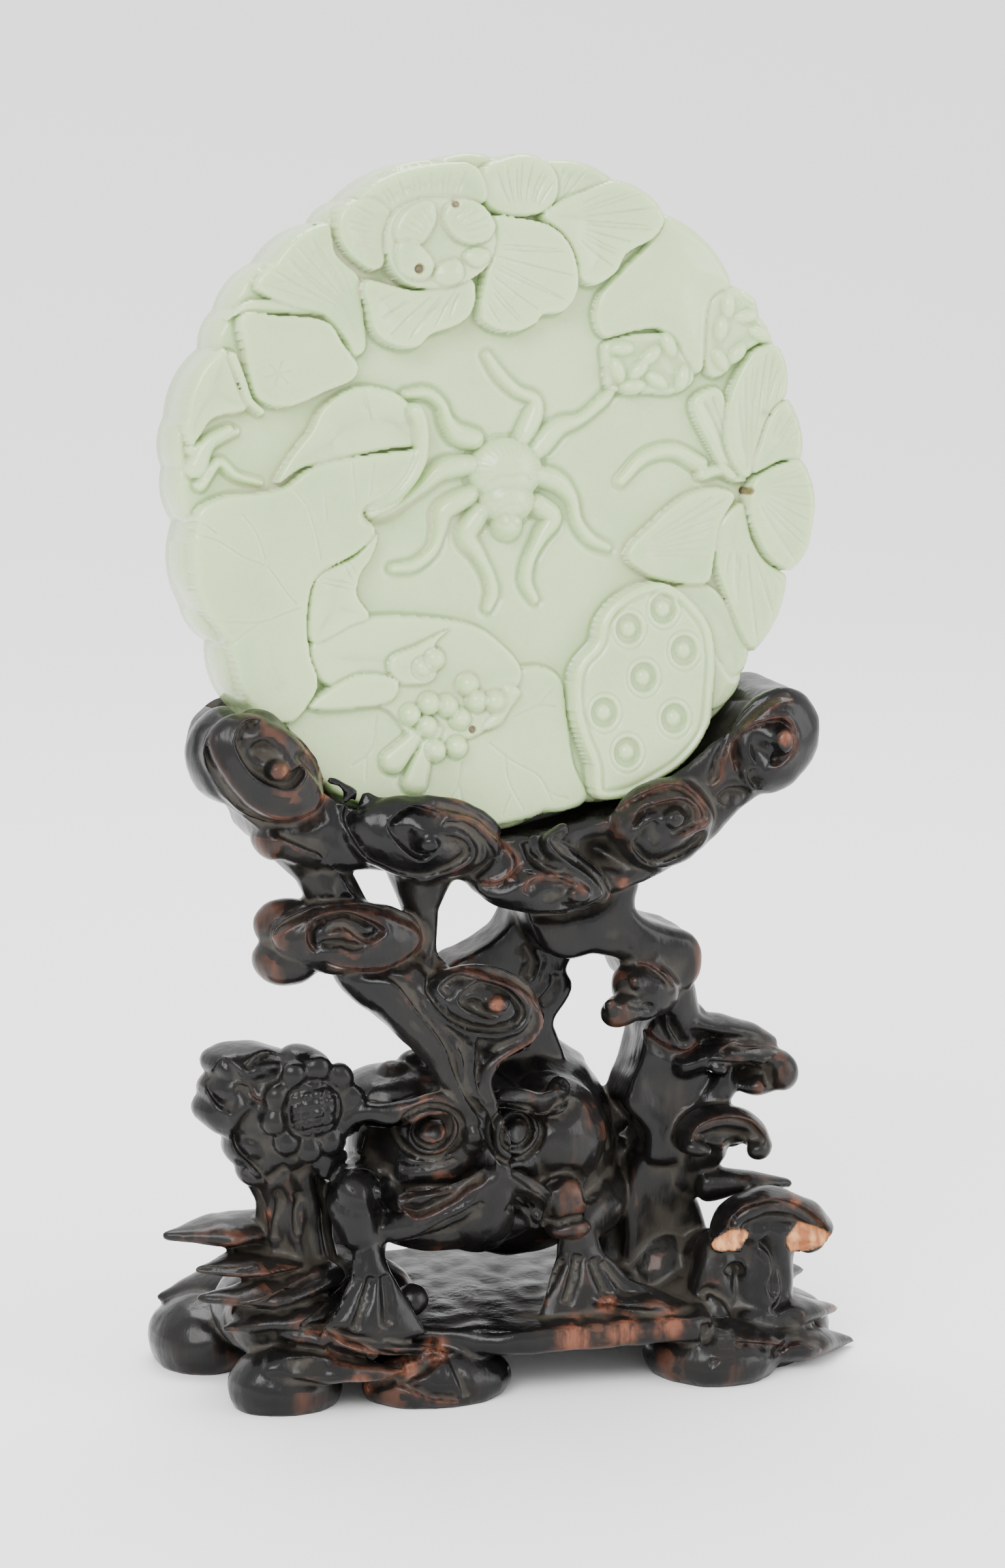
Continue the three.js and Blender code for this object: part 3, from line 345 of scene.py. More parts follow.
def frontRelief(spots):
    cfg = plaqueSettings
    ground = cfg["ground"]
    surface = np.full(len(spots), ground)
    # broad low swells in the ground between the legs
    for place, reach, rise in [([6.5, 14.5], 7, 0.5), ([-6, 17], 6, 0.3), ([13.5, 4], 6, 0.35), ([9.5, -12], 6, 0.45),
                               ([-9, -10.5], 7, 0.4), ([0.5, -18], 5, 0.3), ([-9, 9.5], 4, -0.25), ([20, -2], 5, 0.2)]:
        surface += rise * np.exp(-((spots - place) ** 2).sum(1) / reach ** 2)
    height = surface.copy()
    veins = np.zeros(len(spots))
    for form in reliefForms:
        loop = roundedPath(form["outline"], True)
        ids = near(spots, loop, 1.2)
        depth = insideDistance(spots[ids], loop)
        middle = max(depth.max(), 0.1)
        top = form["top"] - form["dish"] * smoothStep(0.3, middle, depth)
        edge = 1 - np.sqrt(np.clip(1 - (1 - np.clip(depth / 0.7, 0, 1)) ** 2, 0, 1))
        lifted = top - 0.45 * edge
        inside = depth > 0
        foot = (~inside) & (depth > -0.9)
        height[ids[foot]] -= 0.22 * np.exp(-(depth[foot] / 0.4) ** 2)
        height[ids[inside]] = np.maximum(height[ids[inside]] * 0 + lifted[inside], height[ids[inside]] - 0.4)
        veins[ids[inside]] = 0
        if "fan" in form:
            root, first, last, count, start = form["fan"]
            away = spots[ids] - root
            reach = np.hypot(away[:, 0], away[:, 1])
            angle = np.degrees(np.arctan2(away[:, 1], away[:, 0]))
            for k in range(count):
                want = first + (last - first) * (k + 0.5) / count
                bend = 3.0 * math.sin(k * 2.1)
                off = (angle - want - bend * (reach / 12) + 180) % 360 - 180
                across = np.radians(off) * reach
                fade = smoothStep(start, start + 1.2, reach) * smoothStep(0.35 + 0.5 * (k % 2), 1.1 + (k % 3) * 0.5, depth)
                veins[ids] = np.maximum(veins[ids], np.exp(-(across / cfg["veinWidth"]) ** 2) * fade * (np.abs(off) < 40))
    # the pod: a lip round its flat face and a seed in each pit
    loop = roundedPath(next(f for f in reliefForms if f["name"] == "pod")["outline"], True)
    ids = near(spots, loop, 1)
    depth = insideDistance(spots[ids], loop)
    height[ids] -= 0.3 * np.exp(-((depth - 1.25) / 0.3) ** 2)
    height[ids] += 0.12 * np.exp(-((depth - 0.7) / 0.3) ** 2)
    for place in seedPlaces:
        gap = np.hypot(*(spots - place).T * np.array([[1], [0.92]]))
        height -= 0.2 * np.exp(-((gap - 2.25) / 0.2) ** 2)
        height -= 0.65 * smoothStep(1.85, 1.5, gap)
        height += 0.75 * np.sqrt(np.clip(1 - (gap / 0.95) ** 2, 0, 1))
    for roll in reliefRolls:
        path = roundedPath(roll["path"], False)
        ids = near(spots, path, 2)
        gap, along = segmentDistance(spots[ids], path)
        wide = roll["wide"][0] + (roll["wide"][1] - roll["wide"][0]) * along
        arch = roll["base"] + roll["high"] * np.sqrt(np.clip(1 - (gap / wide) ** 2, 0, 1))
        height[ids] = np.where(gap < wide, np.maximum(height[ids], arch), height[ids])
        height[ids] -= 0.2 * np.exp(-((gap - wide - 0.25) / 0.25) ** 2) * (gap > wide)
    for leg in spiderLegs:
        path = roundedPath(leg, False)
        ids = near(spots, path, 3)
        gap, along = segmentDistance(spots[ids], path)
        wide = (1.25 - 0.75 * along) * (1 + 0.18 * np.sin(along * 9))
        arch = ground - 0.25 + (1.75 - 0.7 * along) * np.sqrt(np.clip(1 - (gap / wide) ** 2, 0, 1))
        height[ids] -= 0.45 * np.exp(-((gap - wide) / 0.7) ** 2) * (gap > wide * 0.9)
        height[ids] = np.where(gap < wide, np.maximum(height[ids], arch), height[ids])
    # the spider's body: abdomen, thorax and small head, the abdomen and thorax combed with short cuts
    for (cx, cy), (rx, ry, rz), combs in [((0.3, 2.6), (4.6, 4.0, 2.7), 30), ((0.3, -0.9), (3.5, 2.9, 2.9), 26),
                                          ((0.2, -3.6), (1.9, 2.2, 2.6), 0)]:
        a, b = (spots[:, 0] - cx) / rx, (spots[:, 1] - cy) / ry
        r = np.hypot(a, b)
        dome = ground + rz * np.sqrt(np.clip(1 - r ** 2, 0, 1))
        angle = np.arctan2(b, a)
        if combs:
            dome -= 0.1 * (0.5 + 0.5 * np.cos(angle * combs)) * smoothStep(0.45, 0.6, r) * smoothStep(1.0, 0.9, r) * (b > -0.3)
        hit = (r < 1) & (dome > height)
        height[(r >= 1) & (r < 1.2)] -= 0.12
        height[hit] = dome[hit]
    for cx, cy in [(-0.65, -3.2), (1.0, -3.4)]:
        gap = np.hypot(spots[:, 0] - cx, spots[:, 1] - cy)
        height += 0.3 * np.sqrt(np.clip(1 - (gap / 0.5) ** 2, 0, 1)) - 0.15 * np.exp(-((gap - 0.65) / 0.15) ** 2)
    for place in berryPlaces:
        gap = np.hypot(*(spots - place).T)
        ball = -0.9 + 1.5 * np.sqrt(np.clip(1 - (gap / 1.35) ** 2, 0, 1))
        height = np.where(gap < 1.35, np.maximum(height, ball), height - 0.25 * np.exp(-((gap - 1.45) / 0.2) ** 2))
    for k, place in enumerate(wrinklePlaces):
        away = spots - place
        turn = k * 1.9
        a = away[:, 0] * math.cos(turn) + away[:, 1] * math.sin(turn)
        b = -away[:, 0] * math.sin(turn) + away[:, 1] * math.cos(turn)
        gap = np.hypot(a / 1.7, b / 0.95)
        fold = -1.5 + 1.3 * np.sqrt(np.clip(1 - gap ** 2, 0, 1))
        height = np.where(gap < 1, np.maximum(height, fold), height)
    for path in cutVeins:
        path = roundedPath(path, False)
        ids = near(spots, path, 1)
        gap, along = segmentDistance(spots[ids], path)
        veins[ids] = np.maximum(veins[ids], np.exp(-(gap / cfg["veinWidth"]) ** 2))
    for k in range(6):
        a = math.radians(60 * k + 12)
        path = np.array([[-28.2, 15.2], [-28.2 + 1.5 * math.cos(a), 15.2 + 1.5 * math.sin(a)]])
        gap, along = segmentDistance(spots, path)
        veins = np.maximum(veins, np.exp(-(gap / (0.3 - 0.15 * along)) ** 2))
    height -= cfg["veinDepth"] * veins
    for place, reach, deep in pits:
        gap = np.hypot(*(spots - place).T)
        height -= deep * smoothStep(reach, reach * 0.4, gap)
    return height


def backRelief(spots):
    # the plain side: one broad leaf, its veins cut from the middle out
    radius = np.hypot(spots[:, 0], spots[:, 1])
    angle = np.arctan2(spots[:, 1], spots[:, 0])
    height = 0.5 * smoothStep(6, 38, radius) - 0.35 * np.exp(-(radius / 3.2) ** 2)
    for k in range(14):
        want = k * math.tau / 14 + 0.12 * math.sin(k * 3)
        off = (angle - want - 0.1 * np.sin(radius / 9 + k) + math.pi) % math.tau - math.pi
        across = off * radius
        height -= 0.22 * np.exp(-(across / 0.32) ** 2) * smoothStep(4, 6, radius) * smoothStep(38, 34, radius)
        fork = np.abs(across) - (radius - 22) * 0.18
        height -= 0.18 * np.exp(-(fork / 0.3) ** 2) * smoothStep(22, 24, radius) * smoothStep(37, 33, radius) * (np.abs(off) < 0.3)
    height -= 0.25 * np.exp(-((radius - 4.4) / 0.4) ** 2)
    return height


def buildPlaque():
    cfg = plaqueSettings
    deselectAll()
    across = 86.0
    count = int(across / cfg["gridStep"])
    bpy.ops.mesh.primitive_grid_add(x_subdivisions=count, y_subdivisions=count, size=across * milli)
    plaque = bpy.context.object
    plaque.name = "jade_plaque_carved"
    rim = rimOutline()
    spots = readPoints(plaque)[:, :2]
    depth = insideDistance(spots, rim)
    plaque.data.vertices.foreach_set("select", depth < cfg["gridStep"] * 0.3)
    bpy.ops.object.mode_set(mode="EDIT")
    bpy.ops.mesh.select_mode(type="VERT")
    bpy.ops.object.mode_set(mode="OBJECT")
    plaque.data.polygons.foreach_set("select", np.zeros(len(plaque.data.polygons), dtype=bool))
    plaque.data.edges.foreach_set("select", np.zeros(len(plaque.data.edges), dtype=bool))
    plaque.data.vertices.foreach_set("select", depth < cfg["gridStep"] * 0.3)
    bpy.ops.object.mode_set(mode="EDIT")
    bpy.ops.mesh.delete(type="VERT")
    bpy.ops.object.mode_set(mode="OBJECT")
    # draw the ragged edge out onto the lobed outline
    spots = readPoints(plaque)[:, :2]
    edges = readEdges(plaque)
    uses = np.zeros(len(edges), dtype=int)
    loops = np.empty(len(plaque.data.loops), dtype=np.int32)
    plaque.data.loops.foreach_get("edge_index", loops)
    np.add.at(uses, loops, 1)
    border = np.unique(edges[uses == 1])
    closed = np.vstack([rim, rim[:1]])
    best = np.full(len(border), 1e9)
    target = spots[border].copy()
    for a, b in zip(closed[:-1], closed[1:]):
        ab = b - a
        t = np.clip(((spots[border] - a) @ ab) / (ab @ ab), 0, 1)
        foot = a + t[:, None] * ab
        gap = np.linalg.norm(spots[border] - foot, axis=1)
        closer = gap < best
        best[closer] = gap[closer]
        target[closer] = foot[closer]
    spots[border] = target
    flat = np.column_stack([spots, np.zeros(len(spots))])
    writePoints(plaque, flat)
    applyModifier(plaque, "SOLIDIFY", thickness=cfg["thickness"] * milli, offset=-1, use_rim=True)
    points = readPoints(plaque)
    half = len(spots)
    depth = insideDistance(spots, rim)
    print("plaque grid", len(points))
    edgeDrop = cfg["edgeRound"] * (1 - np.sqrt(np.clip(1 - (1 - np.clip(depth / cfg["edgeRound"], 0, 1)) ** 2, 0, 1)))
    front = frontRelief(spots) - edgeDrop * 0.75
    back = cfg["ground"] - cfg["thickness"] - backRelief(spots) * 0.6 + edgeDrop * 0.9
    points[:half, 2] = front
    points[half:, 2] = np.maximum(back, cfg["ground"] - cfg["thickness"])
    writePoints(plaque, points)
    return plaque, half, front, depth


def standUp(points):
    # from the plane of the face to its place, leaning back in the groove
    up = np.array([0, math.sin(plaqueLean), math.cos(plaqueLean)])
    out = np.array([0, -math.cos(plaqueLean), math.sin(plaqueLean)])
    return (points[:, :1] * np.array([[1, 0, 0]]) + points[:, 1:2] * up + points[:, 2:3] * out + np.array(plaqueCentre))


def neighbourMean(values, edges, count, times):
    # values spread over the mesh a number of steps
    degree = np.bincount(edges.ravel(), minlength=count).astype(float)
    degree[degree == 0] = 1
    for _ in range(times):
        if values.ndim == 1:
            total = np.bincount(edges[:, 0], values[edges[:, 1]], count) + np.bincount(edges[:, 1], values[edges[:, 0]], count)
            values = 0.5 * values + 0.5 * total / degree
        else:
            values = np.column_stack([neighbourMean(values[:, k], edges, count, 1) for k in range(values.shape[1])])
    return values


def bulgeOf(piece, times):
    # how far each point stands out of its surroundings (above 0) or sinks into them (below 0)
    points = readPoints(piece)
    edges = readEdges(piece)
    mean = points
    for _ in range(times):
        mean = neighbourMean(mean, edges, len(points), 1)
    return ((points - mean) * readNormals(piece)).sum(1)


plaque, frontCount, frontHeight, rimDepth = buildPlaque()
triangles = sum(len(p.vertices) - 2 for p in plaque.data.polygons)
applyModifier(plaque, "DECIMATE", ratio=min(1, plaqueSettings["mostTriangles"] / triangles), use_collapse_triangulate=True)
flat = readPoints(plaque)
writeAttribute(plaque, "hollow", np.clip(-bulgeOf(plaque, 12) / 0.12, -1, 1) * 0.5 + 0.5)
pitMask = np.zeros(len(flat))
for place, reach, deep in pits:
    gap = np.hypot(flat[:, 0] - place[0], flat[:, 1] - place[1])
    pitMask = np.maximum(pitMask, smoothStep(reach, reach * 0.6, gap) * (flat[:, 2] > -6))
writeAttribute(plaque, "pit", pitMask)
writePoints(plaque, standUp(flat))
print("plaque carved", len(plaque.data.polygons))


# Carved stand: places are [across, depth, up] from the drawing's origin.

standSettings = dict(remeshStep=0.34, mostTriangles=196000, smoothing=2, softening=0.45, groove=41.6, grooveShift=-1.8,
                     unevenness=0.09)

crownOutline = [
    [-34, 84.5], [-30.5, 83.5], [-27, 80], [-21, 75.5], [-14, 73], [-7, 71], [0, 70], [7, 70.8], [14, 73],
    [21, 77], [26, 80.5], [31, 83.5], [35, 83.5], [37, 80.5], [36, 75.5], [32.5, 72.5], [27.5, 70], [23.5, 66],
    [17.5, 62.5], [9, 59.5], [3, 59], [-4.5, 61], [-9, 63], [-20, 65], [-27, 65.5], [-32.5, 68], [-34, 71],
    [-38, 74.5], [-39, 78.5], [-37.5, 82.5],
]
haunchOutline = [
    [0, 63], [14, 63], [14.5, 57.5], [17, 55.5], [22, 53.5], [23.5, 50], [21, 46.5], [15.5, 47], [13, 50.5],
    [9.5, 52], [6, 51.5], [2.5, 53], [0.5, 57],
]
backCloudOutline = [
    [-9, 47], [-7.6, 50.6], [-4, 52.2], [-0.5, 54.6], [1, 57.5], [1, 61], [8, 61], [9, 55], [8.4, 51], [7.6, 49],
    [8.5, 47], [7.4, 44.5], [6, 42], [7, 36], [-8, 36],
]
pillarTop = [
    [17.8, 42.5], [16.8, 39.5], [16, 36.5], [14.8, 33.8], [14.3, 32], [15.5, 30], [17.2, 27.8], [17.5, 24], [25, 24],
    [25.5, 28], [24.5, 31], [25.5, 34], [25.2, 38], [25.5, 42], [23, 44.5],
]
pillarFoot = [
    [18.8, 27], [16.8, 25.2], [15.4, 22.5], [14.6, 18], [14.4, 12], [14, 6], [26, 6], [26, 12], [25, 17], [22.5, 23],
    [21, 27],
]
deckOutline = [
    [-26, -10], [-14, -15], [-8, -18.5], [-4, -19.6], [4, -20], [12, -20.5], [19.5, -20.6], [22, -14], [25, -4],
    [26, 10], [16, 18], [0, 20], [-16, 18], [-28, 12], [-32, 2],
]
standPieces = []


def lump(place, size, turn=0, segments=20):
    # an egg, its right end dropped by the turn
    deselectAll()
    bpy.ops.mesh.primitive_uv_sphere_add(segments=segments, ring_count=12)
    piece = bpy.context.object
    x, y, z = (readPoints(piece) * milli * np.array(size)).T
    a = math.radians(turn)
    x, z = x * math.cos(a) + z * math.sin(a), -x * math.sin(a) + z * math.cos(a)
    writePoints(piece, np.column_stack([x, y, z]) + place)
    standPieces.append(piece)
    return piece


def limb(stations, ref=(0, 1, 0), parts=8, segments=16, flutes=0, fluteDepth=0.0):
    # a tapering limb with rounded ends through stations [across, depth, up, radius, radius along ref]
    rows = np.array([list(s) + [s[3]] if len(s) == 4 else list(s) for s in stations], dtype=float)
    path = roundedPath(rows[:, :3], False, parts)
    where = np.linspace(0, 1, len(path))
    knots = np.linspace(0, 1, len(rows))
    wide, deep = np.interp(where, knots, rows[:, 3]), np.interp(where, knots, rows[:, 4])
    cap = 4
    ringCount = len(path) + 2 * cap + 1
    deselectAll()
    bpy.ops.mesh.primitive_uv_sphere_add(segments=segments, ring_count=ringCount)
    piece = bpy.context.object
    unit = readPoints(piece) * milli
    ring = np.rint(np.arccos(np.clip(unit[:, 2], -1, 1)) / math.pi * ringCount).astype(int)
    theta = np.arctan2(unit[:, 1], unit[:, 0])
    tangent = np.gradient(path, axis=0)
    tangent /= np.linalg.norm(tangent, axis=1)[:, None]
    side = np.cross(np.array(ref, dtype=float), tangent)
    side /= np.maximum(np.linalg.norm(side, axis=1)[:, None], 1e-9)
    other = np.cross(side, tangent)
    last = len(path) - 1
    station = np.clip(ring - cap - 1, 0, last)
    beyond = (np.clip(ring - last - cap - 1, 0, None) - np.clip(cap + 1 - ring, 0, None)) / (cap + 1)
    shrink = np.sqrt(np.clip(1 - beyond ** 2, 0, 1))
    ends = beyond * np.minimum(wide, deep)[station] * 0.8
    if flutes:
        shrink = shrink * (1 - fluteDepth * (0.5 + 0.5 * np.cos(theta * flutes)))
    writePoints(piece, path[station] + tangent[station] * ends[:, None]
                + side[station] * (np.cos(theta) * wide[station] * shrink)[:, None]
                + other[station] * (np.sin(theta) * deep[station] * shrink)[:, None])
    turnOutwards(piece)
    standPieces.append(piece)
    return piece


def turnOutwards(piece):
    pick(piece)
    bpy.ops.object.mode_set(mode="EDIT")
    bpy.ops.mesh.select_all(action="SELECT")
    bpy.ops.mesh.normals_make_consistent(inside=False)
    bpy.ops.object.mode_set(mode="OBJECT")


def plate(outline, low, high, upright, edge=2.0):
    # a board sawn to an outline, its edges rounded
    loop = roundedPath(outline, True, 4)
    deselectAll()
    bpy.ops.mesh.primitive_circle_add(vertices=len(loop), radius=1, fill_type="NGON")
    piece = bpy.context.object
    flat = np.full(len(loop), high if upright else low, dtype=float)
    columns = [loop[:, 0], flat, loop[:, 1]] if upright else [loop[:, 0], loop[:, 1], flat]
    writePoints(piece, np.column_stack(columns))
    pick(piece)
    bpy.ops.object.mode_set(mode="EDIT")
    bpy.ops.mesh.select_all(action="SELECT")
    travel = (0, (low - high) * milli, 0) if upright else (0, 0, (high - low) * milli)
    bpy.ops.mesh.extrude_region_move(TRANSFORM_OT_translate={"value": travel})
    bpy.ops.object.mode_set(mode="OBJECT")
    turnOutwards(piece)
    applyModifier(piece, "BEVEL", width=edge * milli, segments=3, limit_method="ANGLE", angle_limit=math.radians(50))
    standPieces.append(piece)
    return piece


def buildCrown():
    plate(crownOutline, -12.5, 6, True)
    plate(haunchOutline, -9.5, 3, True, 1.8)
    lump([-33.6, -12.4, 78.3], [8.4, 4.0, 5.6], 40, 28)
    lump([-37.0, -8.4, 79.6], [4.9, 5.8, 5.8])
    lump([-34, -9.2, 82.6], [3.6, 4.7, 2.9])
    lump([-31.8, -9, 69.4], [2.4, 3.8, 2.6])
    lump([-13.9, -12.6, 69.1], [10.0, 3.6, 5.1], 7, 28)
    lump([1.2, -12.2, 61.9], [8.6, 3.4, 3.4], 5, 28)
    lump([-4, -11, 64.5], [4.5, 3, 4])
    lump([16.2, -12.2, 68.8], [6.7, 3.7, 5.5], -12, 28)
    lump([31.0, -11.6, 78.0], [5.6, 3.7, 6.9], 27, 28)
    limb([[8.6, -12.8, 60.4, 1.3], [6.6, -13.4, 63.2, 1.5], [3.6, -13.6, 65.4, 1.5], [1.6, -13.6, 67.4, 1.3], [3.4, -13.6, 69.3, 0.8]])


def buildClouds():
    limb([[-9, -15, 33, 2.0], [-9.6, -15, 39, 2.9], [-12.2, -13.6, 45, 4.0], [-16.4, -11.4, 50, 4.4], [-21, -10, 54, 4.2],
          [-24, -9, 61.5, 3.3], [-25.6, -8, 65, 3.3], [-27, -7, 69.5, 6]], parts=6)
    lump([-23.2, -12.2, 57.3], [9.6, 4.2, 4.5], 5, 28)
    lump([-30.2, -9.6, 54.6], [4.3, 4.2, 3.2])
    lump([-29.8, -8.6, 58.6], [4.2, 4.0, 3.2])
    lump([-7.8, -15.2, 48.0], [7.9, 3.7, 5.5], 14, 28)
    limb([[-13.2, -9, 65.5, 5], [-13.6, -9.6, 59.5, 2.3], [-13.6, -10.5, 54, 1.9], [-12, -12.5, 50, 3]])
    limb([[-0.9, -16.4, 47.2, 1.1], [-2.6, -17.2, 44.4, 1.0], [-6.4, -17.9, 42.4, 0.8], [-8.1, -18, 40, 0.8],
          [-7.6, -18.3, 37.2, 0.9], [-6.5, -18.8, 34.4, 0.9], [-6.2, -19.2, 31.5, 1.0], [-6.3, -19, 28.6, 1.1]], segments=14)
    plate(backCloudOutline, -3, 4.5, True, 1.8)


def buildToad():
    lump([2, 5, 26], [13.5, 16.5, 14.5], segments=32)
    lump([-8, -4.5, 28.5], [13.4, 11, 10], 6, 32)
    lump([-8.5, -7, 21], [11.8, 9.4, 4.4], -2, 28)
    lump([3.4, -5, 29.5], [8.2, 8.8, 7.5], 20, 28)
    lump([-9.6, -12.6, 31], [4.0, 3.6, 4.4])
    limb([[-22.4, -10.6, 35.3, 1.5], [-19, -13.2, 35.2, 1.6], [-16.4, -14.6, 36.0, 1.5], [-13, -15.6, 37, 1.3], [-10, -16, 36, 1.1]])
    limb([[-5.6, -15.6, 36.9, 1.2], [-3, -15.2, 36.7, 1.4], [-0.4, -14.2, 35.5, 1.5], [2.2, -12.6, 35.2, 1.5], [4, -10.4, 36.4, 1.4]])
    lump([-16.5, -5.5, 36.8], [6.4, 6.5, 2.6], -8)
    for place in [[-16.2, -7, 38.2], [-13, -5, 38.9], [14.6, 1, 28.6], [15.2, 1.6, 24.2], [12, 10, 33.5], [8, 17, 33], [14, 9, 26]]:
        lump(place, [2.3, 2.3, 2.1])
    limb([[-21, -11, 21.2, 1.6], [-18, -14, 21.4, 1.8], [-14.6, -16, 22.6, 1.8], [-11, -17.4, 24.4, 1.7], [-8.2, -18.2, 26.6, 1.5],
          [-6.4, -18.8, 28.2, 1.3]])
    limb([[-6.4, -18.8, 28.2, 1.3], [-3.8, -17.8, 26.8, 1.3], [-1, -16.2, 25, 1.3], [0.6, -14.4, 22.8, 1.3], [-0.2, -13, 20.4, 1.2]])
    limb([[-6.4, -18.2, 27.8, 1.6], [-7, -17.2, 24.6, 3.0, 2.0], [-8, -15, 21.6, 4.6, 2.6], [-8.4, -12, 19.4, 5.0, 2.4]])
    limb([[-17.6, -15.4, 25, 1.2], [-13.5, -16.4, 25.4, 1.2], [-10, -17.4, 26.8, 1.0], [-7.8, -18, 28.6, 0.8]])
    limb([[-14, -3, 24, 6], [-20.6, -9, 24.5, 4.6], [-22.6, -12, 23.8, 3.4], [-22.4, -13, 20.6, 2.5]])
    lump([-22.4, -12.6, 26], [3.0, 3.2, 3.0])
    limb([[-21.4, -13.4, 19.4, 1.9, 1.7], [-21.5, -14.8, 16, 2.5, 1.6], [-21.6, -16.2, 12, 5.0, 1.5], [-21.8, -17, 9.4, 6.9, 1.2]])
    lump([3.2, -13.2, 22.8], [3.3, 2.9, 3.1])
    lump([4.0, -13.6, 19.4], [2.9, 2.5, 1.5])
    limb([[11, -1, 20, 5], [9.6, -6.6, 19.5, 3.8], [6.4, -10.6, 18, 2.4], [6.1, -12, 15.4, 2.9, 1.7], [6.4, -13.6, 11.6, 5.6, 1.6],
          [6.9, -14.6, 9, 8.0, 1.3]])
    limb([[11, 8, 24, 7], [16, 6, 17, 5.5], [13, 0, 9, 5], [14, -4, 7, 4]])
    limb([[-8, 14, 20, 7], [-15, 15, 15, 5.5], [-18, 10, 9, 5], [-20, 4, 8, 4]])
    lump([-15.6, -12, 11.6], [2.1, 2.1, 2.1])


def buildLotus():
    for k in range(10):
        a = (k + 0.3) / 10 * math.tau
        lump([-27.6 + 5.1 * math.cos(a), -11.6 + 0.7 * math.cos(a), 36.3 + 5.0 * math.sin(a)], [1.75, 1.3, 1.75])
    lump([-27.6, -11.8, 36.3], [3.7, 2.2, 3.6], segments=28)
    limb([[-27, -3, 8, 6], [-28, -4, 18, 4.8], [-29, -5, 25, 4.6], [-31.5, -6, 32, 5.4], [-33, -6, 38, 4.6]],
         flutes=9, fluteDepth=0.14, segments=40)
    lump([-32, -7, 36.5], [5.8, 5.2, 5.6])
    lump([-34.2, -5.8, 41.2], [5.9, 5.2, 2.5], 6)
    lump([-35.6, -5.8, 38.6], [4.9, 5.0, 2.9], -4)
    lump([-36.2, -5.6, 35.2], [5.0, 4.8, 2.9], 14)
    lump([-35.2, -7.6, 36.3], [3.4, 4.4, 4.2], 40)
    lump([-34.4, -6.4, 31.6], [3.3, 4.2, 3.2], 40)
    lump([-33.4, -6.8, 28.8], [2.6, 3.8, 2.8], 50)
    lump([-28, -8.6, 41], [3.4, 3.6, 2.6], 20)
    lump([-30.2, -8.6, 30.6], [3.6, 3.2, 2.4])
    lump([-25.3, -9.6, 29.4], [1.9, 1.6, 1.9])
    for k in range(6):
        a = (k + 0.2) / 6 * math.tau
        lump([-25.3 + 1.6 * math.cos(a), -9.8, 29.4 + 1.6 * math.sin(a)], [0.95, 1.1, 0.95], segments=12)


